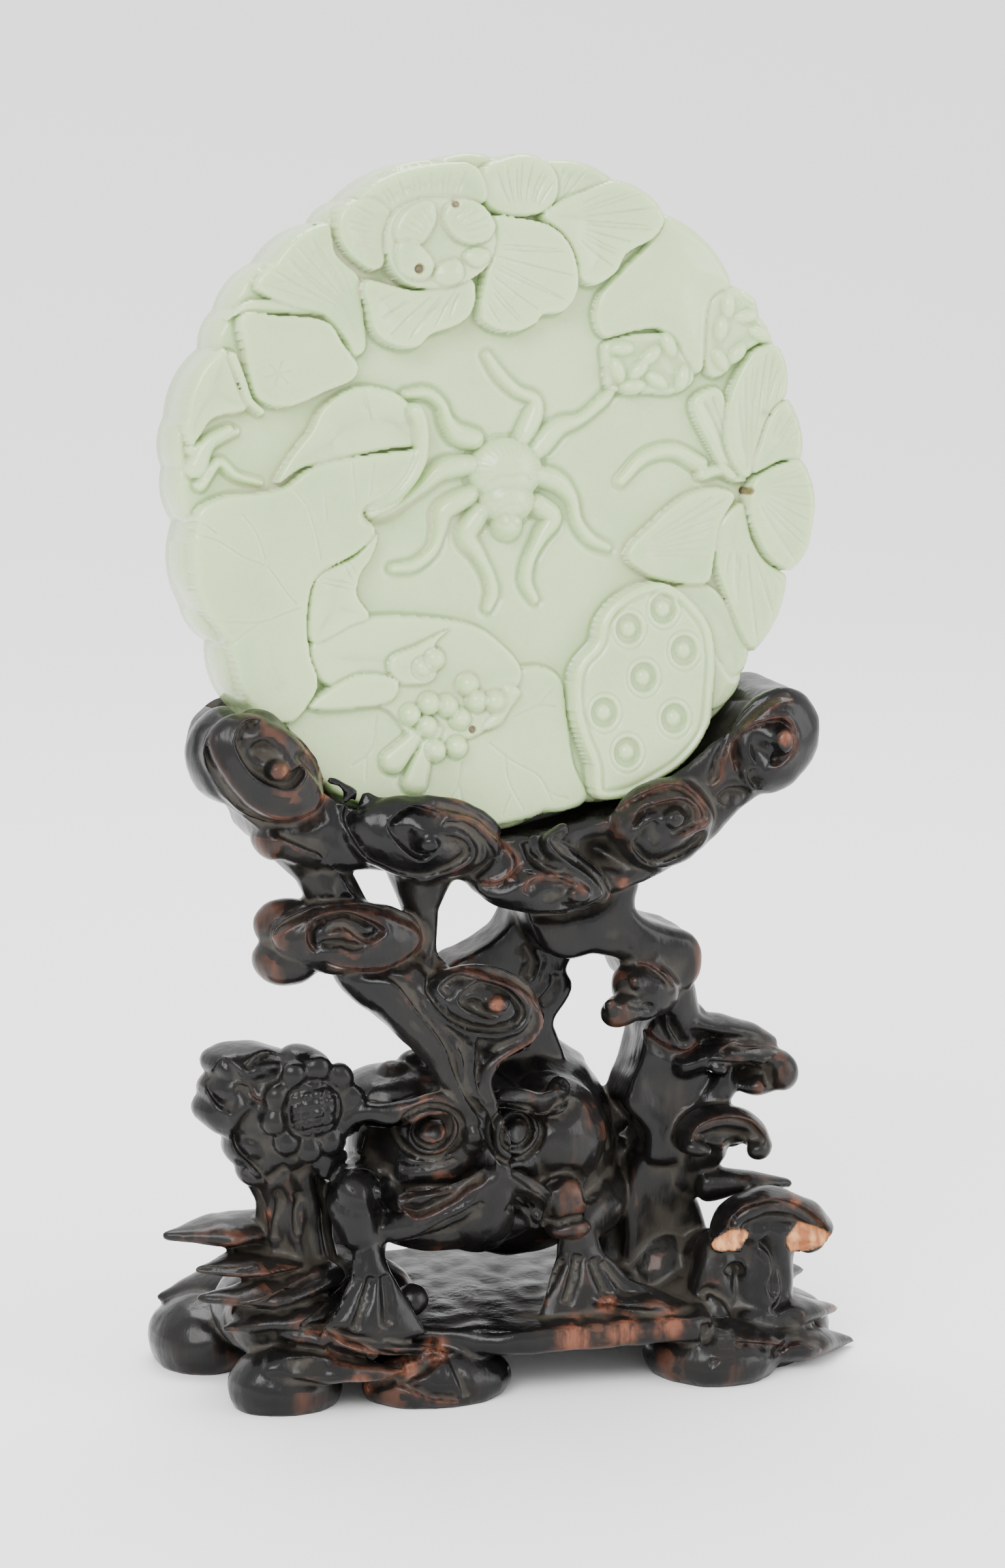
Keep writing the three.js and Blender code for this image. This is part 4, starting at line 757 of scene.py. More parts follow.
def buildPillar():
    plate(pillarTop, -6, 3.5, True, 2.6)
    plate(pillarFoot, -5, 6, True, 2.6)
    lump([20, 0, 9], [6.5, 8.5, 7], segments=24)
    limb([[21.5, -3, 38, 3.4], [21.4, -5, 42, 2.8], [20, -6, 46, 3.0]])
    lump([15.6, -8.6, 47.4], [4.4, 4.2, 3.5], 20, 24)
    lump([11.8, -11.2, 45.6], [2.9, 2.3, 2.1], -20)
    for place in [[11.2, -12.9, 46], [9.9, -12.3, 46.6]]:
        lump(place, [0.95, 0.8, 0.9], segments=12)
    lump([13.2, -12.2, 49.1], [0.85, 0.8, 0.8], segments=12)
    lump([16.6, -10.4, 48.3], [2.3, 2.3, 1.9], 14)
    lump([14.4, -10.6, 45], [2.0, 1.8, 1.2])
    lump([16.4, -7.4, 50.8], [2.1, 2.6, 2.2], 20)
    lump([20.2, -5.2, 49.8], [3.5, 3.8, 3.4])
    lump([20.6, -7.2, 46.8], [1.7, 1.3, 1.4], 30)
    limb([[22, -5, 42.2, 1.2, 3.2], [27, -5, 41.0, 1.3, 3.4], [31, -5.4, 39.9, 1.1, 2.6], [33.8, -5.6, 38.6, 0.6, 1.2]])
    limb([[22, -5, 36.6, 1.8, 2.6], [26, -6.4, 37.8, 1.5, 3.2], [30.5, -7, 37.6, 1.7, 3.4], [33.6, -7.4, 36, 2.1, 3.0]])
    lump([33.7, -8.8, 35.4], [2.1, 2.1, 2.4], -12)
    lump([31.4, -6.4, 33.9], [3.6, 3.2, 1.6])
    lump([25.4, -8.6, 36.8], [1.5, 1.4, 0.95])
    limb([[28.5, -6, 36, 2.0], [26.6, -6, 33, 1.9], [25, -5, 30.5, 2.4]])
    limb([[21.2, -8.2, 27.2, 1.5, 2.6], [22.4, -8.4, 29.4, 1.4, 3.0], [26, -8.4, 30.2, 1.6, 3.2], [29.6, -8.4, 28.8, 1.5, 3.0],
          [31, -8.8, 26.2, 1.5, 2.6]])
    lump([26.2, -7, 28], [4.2, 3.2, 2.2])
    lump([21.9, -10.6, 27], [2.0, 1.4, 1.1], 10)
    lump([30.2, -10.4, 26.2], [1.6, 1.4, 1.4])
    limb([[23, -3, 22, 3], [25, -6, 26, 2.6]])
    limb([[25, -6, 21, 2.4, 2.6], [30, -7.6, 21.4, 1.2, 2.2], [35, -8, 20.8, 0.6, 1.0]])
    limb([[24.4, -13, 16.9, 1.7, 3.0], [25.8, -13.4, 19.1, 1.5, 3.4], [30.2, -13.4, 20.3, 1.7, 3.8], [35, -13.4, 18.7, 1.7, 3.6],
          [37.2, -13, 16.4, 1.6, 3.0]])
    lump([31, -12.4, 17.2], [6, 3.4, 3.2])
    limb([[25.6, -13.4, 16.6, 1.4], [23.0, -15.6, 16.0, 1.1]])
    limb([[35.4, -12.6, 16.2, 2.4, 2.2], [35.2, -15, 15.4, 2.1, 1.9]])
    limb([[29, -12, 2, 6], [29.4, -12, 8, 4.6], [30.3, -12, 13, 3.8], [31, -12, 17, 3.6]], segments=24)
    limb([[24.6, -11, 14, 3.0], [23.4, -12, 9, 3.2], [23.5, -13, 3, 4.2]])
    limb([[22, -2, 8, 4], [26, -8, 12, 4], [28, -11, 14, 3.6]])


def blade(root, middle, tip, width, thick):
    limb([[*root, width * 0.8, thick], [*middle, width, thick], [*tip, 0.5, 0.4]], ref=(0, 0, 1), segments=20)


def buildBase():
    plate(deckOutline, 5.4, 8.6, False, 1.0)
    lump([-25, -2, 9], [13, 11, 7], segments=28)
    lump([26, -5, 6], [10, 11, 6], segments=28)
    lump([-32.6, -7, 9.6], [5, 6, 4.5])
    for place, size in [([-37, 8, 3], [6.5, 8, 5.5]), ([-31.5, -12, 2.5], [7.2, 5.8, 5]), ([-13, -14, 2], [9.5, 6.4, 4.6]),
                        ([22.5, -14.5, 2.2], [8.6, 9.2, 5]), ([35, -6, 2], [6, 8, 4.5]), ([-22, 15, 2.5], [9, 6.5, 5]),
                        ([19, 14, 2.5], [9, 6.5, 5])]:
        lump(place, size, segments=24)
    for line, width, thick in [
            ([[-28, -1, 19.4], [-37, -2.5, 19.6], [-44.2, -3.5, 19.8]], 5, 1.8),
            ([[-27, -4, 16.2], [-35, -7, 16.4], [-41.4, -8, 16.6]], 5, 1.2),
            ([[-25, -8, 14.8], [-34, -10.4, 13.7], [-41.6, -10, 13.6]], 5, 1.6),
            ([[-22, -8, 11], [-31, -10, 10.8], [-38.6, -10.4, 9.6]], 6, 1.8),
            ([[-31, -11, 9.4], [-23, -15.4, 8.2], [-13.6, -17.4, 6.2]], 4.6, 1.3),
            ([[-33, -13, 5.6], [-27, -16, 5.6], [-18.4, -18.4, 4.4]], 5, 1.9),
            ([[8, -12, 10.4], [14, -14, 9.6], [20.6, -15, 7.6]], 5.5, 0.9),
            ([[26, -10, 11], [32, -9, 10], [36.8, -8.4, 9.4]], 5, 1.8),
            ([[24, -12, 6], [33, -12, 6], [40.6, -10.4, 4.6]], 6.5, 2.0),
            ([[26, -4, 12], [32, -3, 12], [37, -3, 11.4]], 4, 1.6),
            ([[24, -14, 3], [33, -14.5, 2.6], [42.2, -12, 0.8]], 6, 2.4),
            ([[24, -16, 4.4], [28, -17, 4.2], [33, -17, 3.2]], 5, 1.2),
            ([[20, 10, 7], [29, 11, 7], [37, 10, 5]], 6, 2),
            ([[-22, 10, 9], [-32, 12, 9], [-41, 13, 7]], 6, 2)]:
        blade(*line, width, thick)


# Carved lines as [across, up] where the cut runs. Each row: depth of the surface it is cut in, side that falls
# away (1 left of the line, -1 right, 0 a groove), how deep, how far until it comes level, rubbed edge, line.
strokes = [
    (-14, -1, 1.7, 2.4, 0.2, [[-40.2, 84.2], [-40.7, 82.5], [-40.2, 80.5], [-39, 78.5], [-36.2, 74.8], [-32.5, 72.5],
                              [-28.2, 72.8], [-26.8, 75.2], [-28.8, 78.5], [-30.5, 79.8]]),
    (-14, 1, 1.7, 2.8, 0, [[-34.2, 84.8], [-36.2, 84.5], [-37.2, 83], [-37.2, 81.2], [-35.2, 78], [-32, 76.2], [-30.2, 76.2],
                           [-28.8, 78], [-29.5, 79.2]]),
    (-14, 1, 1.3, 2.2, 0.5, [[-31.5, 83.6], [-29.6, 81.6], [-27.6, 78.6], [-26.4, 75.6], [-27.6, 73.2], [-30, 72.4]]),
    (-14, 1, 1.3, 2.6, 0, [[-23, 75.5], [-24, 73.5], [-24, 71], [-21.2, 66.8], [-15.8, 64.5], [-12.5, 64.5], [-9, 66.2],
                           [-8.5, 67.5], [-9.5, 68.8], [-12.8, 69.8]]),
    (-14, 1, 1.9, 2.8, 0, [[-11.2, 72], [-13.8, 72.8], [-16, 73.2], [-18.5, 71.5], [-18.5, 70], [-16, 67.2], [-14.2, 66.5],
                           [-12.5, 68]]),
    (-14, 1, 1.5, 1.8, 0.5, [[-15, 73], [-11.2, 72], [-8.2, 71], [-5.8, 69], [-2.8, 65.8], [-3.5, 64.2], [-5.2, 63.2],
                             [-7.8, 63.5]]),
    (-14, -1, 1.0, 1.6, 0, [[-10.2, 71.5], [-7.8, 70], [-6, 67.8], [-5.5, 66.2], [-6.5, 64.8], [-8.2, 63.5]]),
    (-14, -1, 0.8, 1.4, 0, [[-12, 71.2], [-9.8, 70.8], [-7.8, 69.2], [-6.8, 67.5], [-7.5, 65.2]]),
    (-14, -1, 1.1, 2.0, 0.4, [[-2.2, 61.8], [-0.8, 63.2], [1.2, 63.5], [3.5, 63], [6.8, 60.8]]),
    (-14, 1, 1.5, 2.2, 0, [[3.8, 69.5], [1.5, 68.2], [2, 66.8], [4, 65], [6.5, 63.2], [8.2, 61], [7, 60], [5.2, 59.5],
                           [2.5, 60.5]]),
    (-14, -1, 0.9, 1.5, 0, [[-1, 68], [-0.8, 66.5], [1, 65], [3.2, 64]]),
    (-14, -1, 0.8, 1.4, 0, [[-3.5, 68.2], [-2.5, 66.5], [-1.8, 64.8], [1.2, 63.8]]),
    (-14, -1, 1.4, 1.8, 0, [[-5.8, 59.5], [-2.5, 59.2], [1, 59], [4.5, 59], [8, 60]]),
    (-14, -1, 1.6, 2.4, 0.2, [[11.8, 68.8], [12.2, 70], [13.5, 71.2], [17.8, 72], [19.8, 71.2], [20.5, 69.8], [20, 68.2],
                              [16.5, 67.2]]),
    (-14, -1, 1.1, 1.7, 0.4, [[9.5, 70.8], [11.5, 72.2], [16.2, 73.8], [19, 73.2], [21.5, 70.2], [20.8, 68.5], [17, 67.2]]),
    (-14, 1, 1.3, 2.2, 0, [[15.5, 69.8], [13.8, 69.2], [12.2, 67.8], [12.2, 66], [13.8, 64.2], [15.8, 64], [20.5, 66],
                           [21.5, 68.2]]),
    (-13, -1, 1.8, 2.6, 0.3, [[25.8, 74.2], [25, 77], [25.5, 78.8], [27.5, 80.2], [31.8, 80.8], [33.2, 77.5], [31.2, 75.2],
                              [30, 75.2]]),
    (-13, 1, 1.3, 2.2, 0, [[27, 74.8], [27.2, 73.5], [28.2, 72.2]]),
    (-13, 1, 1.2, 1.9, 0.4, [[22.2, 72.8], [23.5, 74], [24, 76], [24.8, 77.8], [26.5, 80], [28.8, 82], [31.2, 83], [33.2, 83]]),
    (-13, -1, 1.3, 2.4, 0, [[23, 71.5], [24.5, 72.8], [26.2, 72.8], [27.5, 72.2]]),
    (-14, 1, 1.0, 1.6, 0, [[-26.5, 77], [-25, 76.8], [-23.8, 76.2], [-22.8, 75.2], [-23.2, 73.5], [-23.5, 71.5]]),
    (-14, 1, 1.4, 1.8, 0.3, [[-32.5, 58], [-32, 59], [-30, 60.2], [-27, 61.2], [-24, 61.5], [-20.8, 60.8], [-15.8, 58.5],
                             [-14.8, 57], [-15.8, 55.2], [-18, 54], [-20.8, 53.5], [-25, 54.2], [-27, 55.5]]),
    (-15, -1, 1.6, 2.4, 0.2, [[-27.8, 55.8], [-29, 57.2], [-29.2, 59], [-28.5, 60.2], [-26, 61], [-23.8, 61], [-19.8, 59],
                              [-19.8, 57.8], [-21.8, 57], [-24.5, 58.8], [-27.2, 58.2]]),
    (-15, -1, 1.0, 1.4, 0, [[-28, 57], [-27, 57.8], [-23.5, 57.2], [-22, 56.8], [-23, 56.2], [-24.8, 56.5]]),
    (-17, 1, 1.3, 2.0, 0, [[-15, 53.8], [-15.2, 52], [-15, 50.5], [-12.2, 47.2], [-7.8, 45.5], [-3.8, 45.8], [-2.5, 48],
                           [-4.8, 50.8], [-8.2, 52], [-10.8, 50.5], [-10.8, 49.2], [-8, 47.5], [-6.2, 47.5], [-5, 49]]),
    (-17, 1, 1.5, 2.0, 0.4, [[-14.5, 53.5], [-12, 54], [-7.5, 52.5], [-3.2, 50.5], [-0.5, 47.2], [-1.2, 44.5], [-4.2, 42.8],
                             [-6.8, 41.2]]),
    (-17, -1, 0.9, 1.5, 0, [[-12.2, 49.8], [-13.5, 51.5], [-11.2, 53], [-9, 52.5], [-6.8, 51.8]]),
    (-14, 1, 0.9, 1.5, 0, [[-22, 52.8], [-18.2, 51.8], [-15, 47.8], [-12, 43.8], [-11, 40.8], [-9.2, 36.8], [-6.5, 33.5]]),
    (-16, 1, 0.8, 1.4, 0, [[-16, 50], [-13.2, 46.2], [-10.5, 43], [-10, 39.2], [-9.2, 37.5]]),
    (-16, 1, 0.8, 1.3, 0, [[-15.8, 50.2], [-12.8, 46.5], [-11, 44.8], [-9.5, 43]]),
    (-17, 1, 0.8, 1.4, 0, [[-8.8, 45.2], [-9, 43.2], [-9, 39.5], [-7.5, 36]]),
    (-12, 1, 1.0, 1.8, 0, [[-32.8, 70.5], [-28.2, 68.2], [-26.2, 67], [-22, 61.8], [-19.8, 60.5]]),
    (-12, -1, 0.9, 1.6, 0, [[-26.2, 67.5], [-24.2, 64.5], [-23.8, 62.2]]),
    (-3, 1, 1.0, 1.8, 0, [[5.2, 48.8], [5.2, 47.5], [4.5, 46.5], [3.5, 45.5]]),
    (-3, -1, 1.0, 2.2, 0, [[2.2, 53.2], [3.5, 50.8], [3.5, 49.8], [2.8, 47.8]]),
    # toad
    (-14, -1, 2.4, 5.0, 0, [[-23.4, 34.4], [-21.2, 34.6], [-19.5, 34.2], [-17.5, 34.5], [-16.8, 35]]),
    (-16, 0, 0.6, 0.9, 0, [[-18.2, 29], [-16.5, 29], [-14.2, 29.2], [-10.5, 29.8]]),
    (-14, -1, 1.2, 2.2, 0, [[-5.8, 36.2], [-4, 36.2], [-2, 35.5], [-0.5, 34.5], [0.8, 33.5], [2.2, 33.8], [3.5, 34.2], [4, 35.8]]),
    (-14, -1, 1.8, 3.5, 0, [[4.5, 35.5], [1, 33], [-0.5, 32], [-2.2, 29.8], [-3.5, 28]]),
    (-12, 1, 0.7, 1.6, 0, [[-5.5, 38.5], [-2.2, 38], [0, 37.2], [2.8, 36.8], [4.5, 36.2]]),
    (-17, -1, 0.9, 1.6, 0.1, [[-7.5, 28.5], [-8.2, 27.2], [-10.2, 26.5], [-12.8, 26.2], [-15.2, 26.5], [-17.2, 26], [-18.2, 25.2]]),
    (-17, 1, 1.3, 1.8, 0.2, [[-18.4, 25], [-18.2, 24.4], [-17.2, 23.8], [-15.5, 23.5], [-11.8, 25.2], [-9.8, 26.5], [-7.5, 28]]),
    (-16, 1, 1.0, 2.5, 0, [[-8, 24.8], [-10.5, 23.5], [-13, 22.5], [-15.5, 21.2], [-18, 20.2], [-20.8, 19.8]]),
    (-17, 0, 0.7, 1.1, 0, [[-5, 24], [-3, 22.8], [-1, 20.5]]),
    (-17, 0, 0.6, 1.2, 0, [[-7.8, 24.8], [-9.8, 23.5], [-10.8, 22.5]]),
    (-15, 1, 1.0, 1.6, 0, [[-4.5, 27.8], [-1, 25], [0.2, 24], [0.8, 22.8], [0.5, 21.5], [-0.5, 20.2]]),
    (-15, 0, 0.8, 1.0, 0, [[0.4, 21.2], [2.2, 20.4], [3.8, 20.7], [5.6, 20.8]]),
    (-15, 1, 1.0, 1.6, 0, [[0.2, 24.8], [2, 25], [3.2, 25.8], [4.2, 25.8], [5.2, 24.5], [5.5, 23], [6.8, 21.8]]),
    (-14, -1, 1.1, 1.8, 0, [[-19, 27.8], [-20, 26.5], [-19.8, 24.5], [-18.5, 22.2]]),
    (-3, 1, 0.9, 1.8, 0, [[8.8, 33], [10.2, 31.5], [11.8, 30], [12.2, 27.8], [12.5, 25.5]]),
    (-17, 0, 1.1, 1.3, 0, [[-21.9, 16.6], [-23, 13], [-24.2, 9.8]]),
    (-17, 0, 1.1, 1.3, 0, [[-20.6, 16.6], [-20.2, 13], [-20, 10]]),
    (-16, 0, 0.9, 1.4, 0, [[-23, 16.4], [-26, 12.4], [-27.6, 10.4]]),
    (-14, 0, 1.1, 1.4, 0, [[5.2, 16], [4.6, 12.6], [3.6, 9.6]]),
    (-14, 0, 1.1, 1.4, 0, [[6.9, 15.4], [8.6, 11.6], [9.9, 8.9]]),
    (-13, 0, 0.9, 1.4, 0, [[4, 15.2], [1.4, 12], [-0.4, 9.8]]),
    (-13, 0, 0.9, 1.4, 0, [[8.2, 14.6], [11.4, 11], [13.4, 8.8]]),
    # lotus
    (-9, 0, 0.8, 1.0, 0, [[-35.2, 41.2], [-33.5, 42.6], [-31.5, 42.6], [-30, 42.4]]),
    (-8, -1, 0.9, 1.6, 0.1, [[-36.2, 39.5], [-34.5, 39], [-33.5, 37.5], [-32, 37.2]]),
    (-8, 1, 1.2, 1.8, 0, [[-40.5, 39.8], [-39.2, 37.8], [-38, 36.5], [-36.5, 35.8]]),
    (-8, -1, 0.8, 1.5, 0, [[-39.5, 40.8], [-37.8, 42.6], [-36.2, 41.5], [-35, 40.2]]),
    (-9, 1, 1.2, 1.8, 0, [[-37, 33.8], [-36.8, 31.8], [-35.5, 30], [-34, 28.5], [-32.5, 26.5]]),
    (-9, 0, 0.8, 1.2, 0, [[-35.8, 29], [-34, 27.5], [-31.5, 28], [-30, 29]]),
    (-6, 0, 0.7, 0.9, 0, [[-30.5, 25.5], [-30.2, 23.5], [-30.8, 21.2], [-31, 18.8]]),
    (-6, 0, 0.7, 0.9, 0, [[-28, 25], [-27.8, 23.8], [-28.2, 22], [-28, 19]]),
    # beast, pillar and fungus
    (-11, -1, 0.8, 1.4, 0.2, [[13.5, 51.2], [15, 51], [16.5, 50.2], [18, 48.8], [19, 47.5]]),
    (-12, 0, 0.6, 0.8, 0, [[12.2, 46.4], [13.5, 46], [14.5, 46], [15.5, 45.8]]),
    (-8, -1, 1.2, 1.8, 0.3, [[15.5, 43.2], [16.8, 41.2], [18.5, 39.8], [20.2, 39], [21.8, 39], [23.2, 40]]),
    (-8, 1, 0.8, 1.6, 0, [[18.8, 43.8], [18.8, 42.2], [19.5, 40.8], [20.5, 39.5], [21.8, 39.2]]),
    (-8, -1, 1.1, 1.5, 0.1, [[25.5, 38.4], [27, 39.4], [29.2, 39], [32, 38.8], [33.5, 38.2]]),
    (-9, -1, 1.0, 1.8, 0, [[23.5, 37.8], [27, 37.4], [30, 36.9], [32, 36.8]]),
    (-11, -1, 1.3, 2.4, 0.2, [[21.2, 28], [21.4, 29.2], [22.4, 30.1], [24.4, 30.7], [26.8, 30.7], [28.8, 30], [30, 28.8],
                              [31, 27.2]]),
    (-16, -1, 1.5, 2.8, 0.2, [[24.2, 17.8], [24.4, 19], [25.4, 20.1], [27.2, 20.9], [29.8, 21.3], [32, 20.8], [34.4, 19.6],
                              [36.2, 18], [37.6, 16.6]]),
    (-14, 1, 1.6, 2.6, 0, [[28.5, 15.2], [30, 13.8], [30.5, 11.8], [30, 9.8], [30.5, 7.8]]),
    (-14, 0, 1.1, 1.4, 0, [[30.8, 13.5], [31.8, 11.5], [32.2, 9.2], [31.8, 7.2], [30.8, 6.2]]),
    (-15, -1, 1.1, 1.6, 0, [[23.8, 12], [24.5, 13], [26, 13], [26.8, 11.8]]),
    (-16, 1, 1.0, 1.8, 0, [[21.2, 8.8], [21.8, 9.5], [23, 8.8], [24, 7.5], [24.8, 6.2]]),
    (-16, 1, 1.0, 2.0, 0, [[20.2, 6.8], [20.2, 5], [20.8, 3], [22.2, 2.2]]),
    # base
    (-6, -1, 1.0, 1.6, 0, [[-43.2, 19.5], [-41.5, 18.8], [-38.8, 18.5], [-35.5, 18.8], [-32.2, 19.2]]),
    (-7, -1, 1.0, 1.4, 0, [[-41.5, 17.8], [-39, 16.8], [-35.8, 16.5], [-30.8, 17.2]]),
    (-10, -1, 1.2, 1.6, 0.1, [[-42.2, 16], [-40, 15.8], [-37.2, 15.5], [-34.8, 15.8], [-28, 16.2]]),
    (-12, -1, 1.4, 2.2, 0.1, [[-42.5, 13.5], [-39.2, 12.8], [-36.8, 13], [-33.8, 13.8], [-28.8, 15.8], [-26.8, 16.8]]),
    (-14, 1, 1.2, 2.0, 0, [[-24.2, 17.8], [-24, 16.2], [-24.8, 14.8], [-28, 12], [-30.5, 10.5]]),
    (-17, 1, 1.4, 1.8, 0.6, [[-31, 10.2], [-28.5, 10.2], [-26, 9.2], [-23.8, 8.2], [-19.2, 5.8], [-15.2, 5.8], [-13.2, 6.8]]),
    (-17, 1, 1.3, 1.8, 0.5, [[-28.2, 8.2], [-25.8, 6.5], [-23.2, 5.8], [-20, 5], [-17.8, 4.6]]),
    (-18, 1, 1.2, 1.8, 0.5, [[-17.8, 4.8], [-20.5, 4], [-23.5, 3], [-26.2, 2.5]]),
    (-18, -1, 1.2, 2.4, 0.1, [[-13.5, 5.8], [-15.2, 4.2], [-17.2, 3.2], [-19.2, 2.5]]),
    (-19, 1, 1.0, 2.0, 0.3, [[-20, 3.5], [-17.5, 2.2], [-14.8, 1], [-11.2, 0.4]]),
    (-18, 1, 0.9, 1.8, 0, [[-13, 5.8], [-11.5, 2.8], [-11, 0.5]]),
    (-18, -1, 1.2, 1.6, 0.2, [[24, 4.8], [26.5, 4.2], [29.2, 3.8], [31.2, 3]]),
    (-18, -1, 1.0, 1.6, 0.1, [[20.8, 3], [22.8, 2.5], [25.2, 1.8], [27.2, 1]]),
    (-18, 1, 1.0, 1.6, 0.1, [[29.2, 1.8], [31.2, 3], [33.2, 3.2], [36, 2.2]]),
]

# Hollows and swellings: [across, up], depth of the surface, half width, half height, turn, how deep (below zero is raised).
dents = [
    ([-33.6, 80.6], -14, 1.6, 1.2, -30, 2.4), ([-32.2, 78.3], -14, 1.3, 1.2, 0, -1.1), ([-14, 68.5], -15, 1.3, 1.1, 0, -0.9),
    ([-16.2, 70], -15, 1.3, 2.0, 20, 1.0), ([-24.4, 73.6], -13, 1.1, 2.6, 0, 1.2), ([-27.5, 70.2], -12, 3, 1.8, -20, 1.0),
    ([9.4, 65.2], -12, 3.4, 1.9, -20, 3.6), ([4.8, 61.2], -15, 1.6, 1.2, 0, -1.0), ([1.5, 61.2], -15, 1.6, 0.9, 0, 0.9),
    ([17, 69.8], -15, 1.4, 1.3, 0, -0.9), ([14.6, 67.4], -15, 1.2, 1.4, 0, 1.2), ([31.5, 78.2], -14, 1.3, 1.8, 0, -0.9),
    ([28.6, 77.2], -14, 1.5, 1.9, 30, 2.0), ([-6.5, 49.2], -18, 1.5, 1.0, 0, -1.0), ([-9.2, 49.4], -18, 1.0, 0.9, 0, 0.9),
    ([-24.6, 57.5], -16, 3.2, 0.8, -8, 1.0), ([-20.6, 30.6], -13, 2.8, 3.6, 0, 3.0), ([-9.2, 32.3], -17, 1.7, 1.8, 0, -0.9),
    ([-11.4, 32], -16, 0.9, 2.8, 10, 0.7), ([-0.4, 22.8], -16, 0.9, 1.6, 30, 1.4), ([-30.4, 5.8], -17, 2.8, 1.8, 0, 2.6),
    ([29, 35.2], -9, 1.5, 1.5, 0, 2.2), ([32, 35.2], -9, 0.8, 1.8, 0, 1.4), ([26, 28.2], -10, 2.6, 1.0, 0, 1.2),
    ([27.4, 26.6], -9, 1.2, 0.9, 0, 1.2), ([30.8, 18.4], -15, 4.2, 1.4, 0, 0.9), ([18.6, 34], -6, 3.2, 4.4, 20, 0.9),
    ([19.6, 14], -6, 3.6, 5.0, 0, 0.7), ([32.6, 5.4], -15, 3.6, 1.2, 0, 1.4), ([-38.4, 11.6], -11, 3.2, 1.0, 0, 1.2),
    ([-6.6, 8.6], -17, 2.2, 1.0, 0, 1.0), ([23.2, 6.8], -15, 1.6, 2.2, 20, -0.7), ([13, 8.9], -17, 3.0, 1.0, -15, 0.8),
    ([-34.9, 34.6], -9, 1.1, 2.4, -35, 1.4), ([16.2, 49.7], -11, 1.4, 0.5, -30, 0.7),
]

# Eyes: [across, up], depth of the surface, half width and half height of the lid ring.
eyes = [([-14.2, 33.4], -16, 3.1, 2.6), ([-3.4, 32.5], -16, 2.6, 2.7)]

# Broken faces left raw and flat: outline, depth of the break.
breaks = [
    ([[22, 16.5], [24.5, 17.8], [26.8, 17.5], [26.8, 16.5], [25, 15], [22, 15.5]], -15.6),
    ([[32.2, 16], [33.8, 17.8], [36, 17], [38.2, 15.8], [37, 14.5], [34.5, 14], [32.8, 14], [32.2, 15]], -14.9),
]

# Rubbed places: [across, up], depth, reach.
rubbedSpots = [
    ([-6.5, 49.2], -18, 1.2), ([-27, 75.4], -15, 1.0), ([-32, 78.6], -15, 1.1), ([31.6, 78.6], -14, 1.2), ([11.2, 61.8], -13, 0.9),
    ([-14, 6.5], -17, 2.2), ([-24, 3.2], -18, 2.4), ([3, 7.4], -20, 3.2), ([9, 7.6], -20, 2.6), ([15, 7.8], -20, 2.4),
    ([8.6, 9.6], -15, 1.6), ([-17.8, 4.8], -18, 1.6), ([-32.5, 22.6], -8, 0.7), ([40.5, 5], -11, 1.2), ([33, 20.6], -15, 1.2),
]
slant = (0.325, -0.2045)


def laidAt(points, depth):
    # where each point falls on a drawing held upright at that depth and looked at from the front left
    away = depth - points[:, 1]
    return np.column_stack([points[:, 0] + slant[0] * away, points[:, 2] + slant[1] * away])


def lineGap(spots, path):
    # distance to a line, which side of it, how far along
    best = np.full(len(spots), 1e9)
    side, along = np.zeros(len(spots)), np.zeros(len(spots))
    for i in range(len(path) - 1):
        step = path[i + 1] - path[i]
        off = spots - path[i]
        t = np.clip(off @ step / max(step @ step, 1e-9), 0, 1)
        off = off - t[:, None] * step
        gap = np.hypot(off[:, 0], off[:, 1])
        near = gap < best
        best[near] = gap[near]
        side[near] = np.sign(step[0] * off[near, 1] - step[1] * off[near, 0])
        along[near] = (i + t[near]) / (len(path) - 1)
    return best, side, along


def closeTo(points, facing, depth, low, high, band=5.0):
    # the front-facing points near a depth whose drawn place is inside a rectangle
    spots = laidAt(points, depth)
    chosen = facing & (np.abs(points[:, 1] - depth) < band)
    chosen &= (spots > np.array(low)).all(axis=1) & (spots < np.array(high)).all(axis=1)
    ids = np.nonzero(chosen)[0]
    return ids, spots[ids]


def ovalGap(spots, place, wide, tall, turn=0):
    a = math.radians(turn)
    x, z = (spots - place).T
    return np.hypot((x * math.cos(a) + z * math.sin(a)) / wide, (z * math.cos(a) - x * math.sin(a)) / tall)


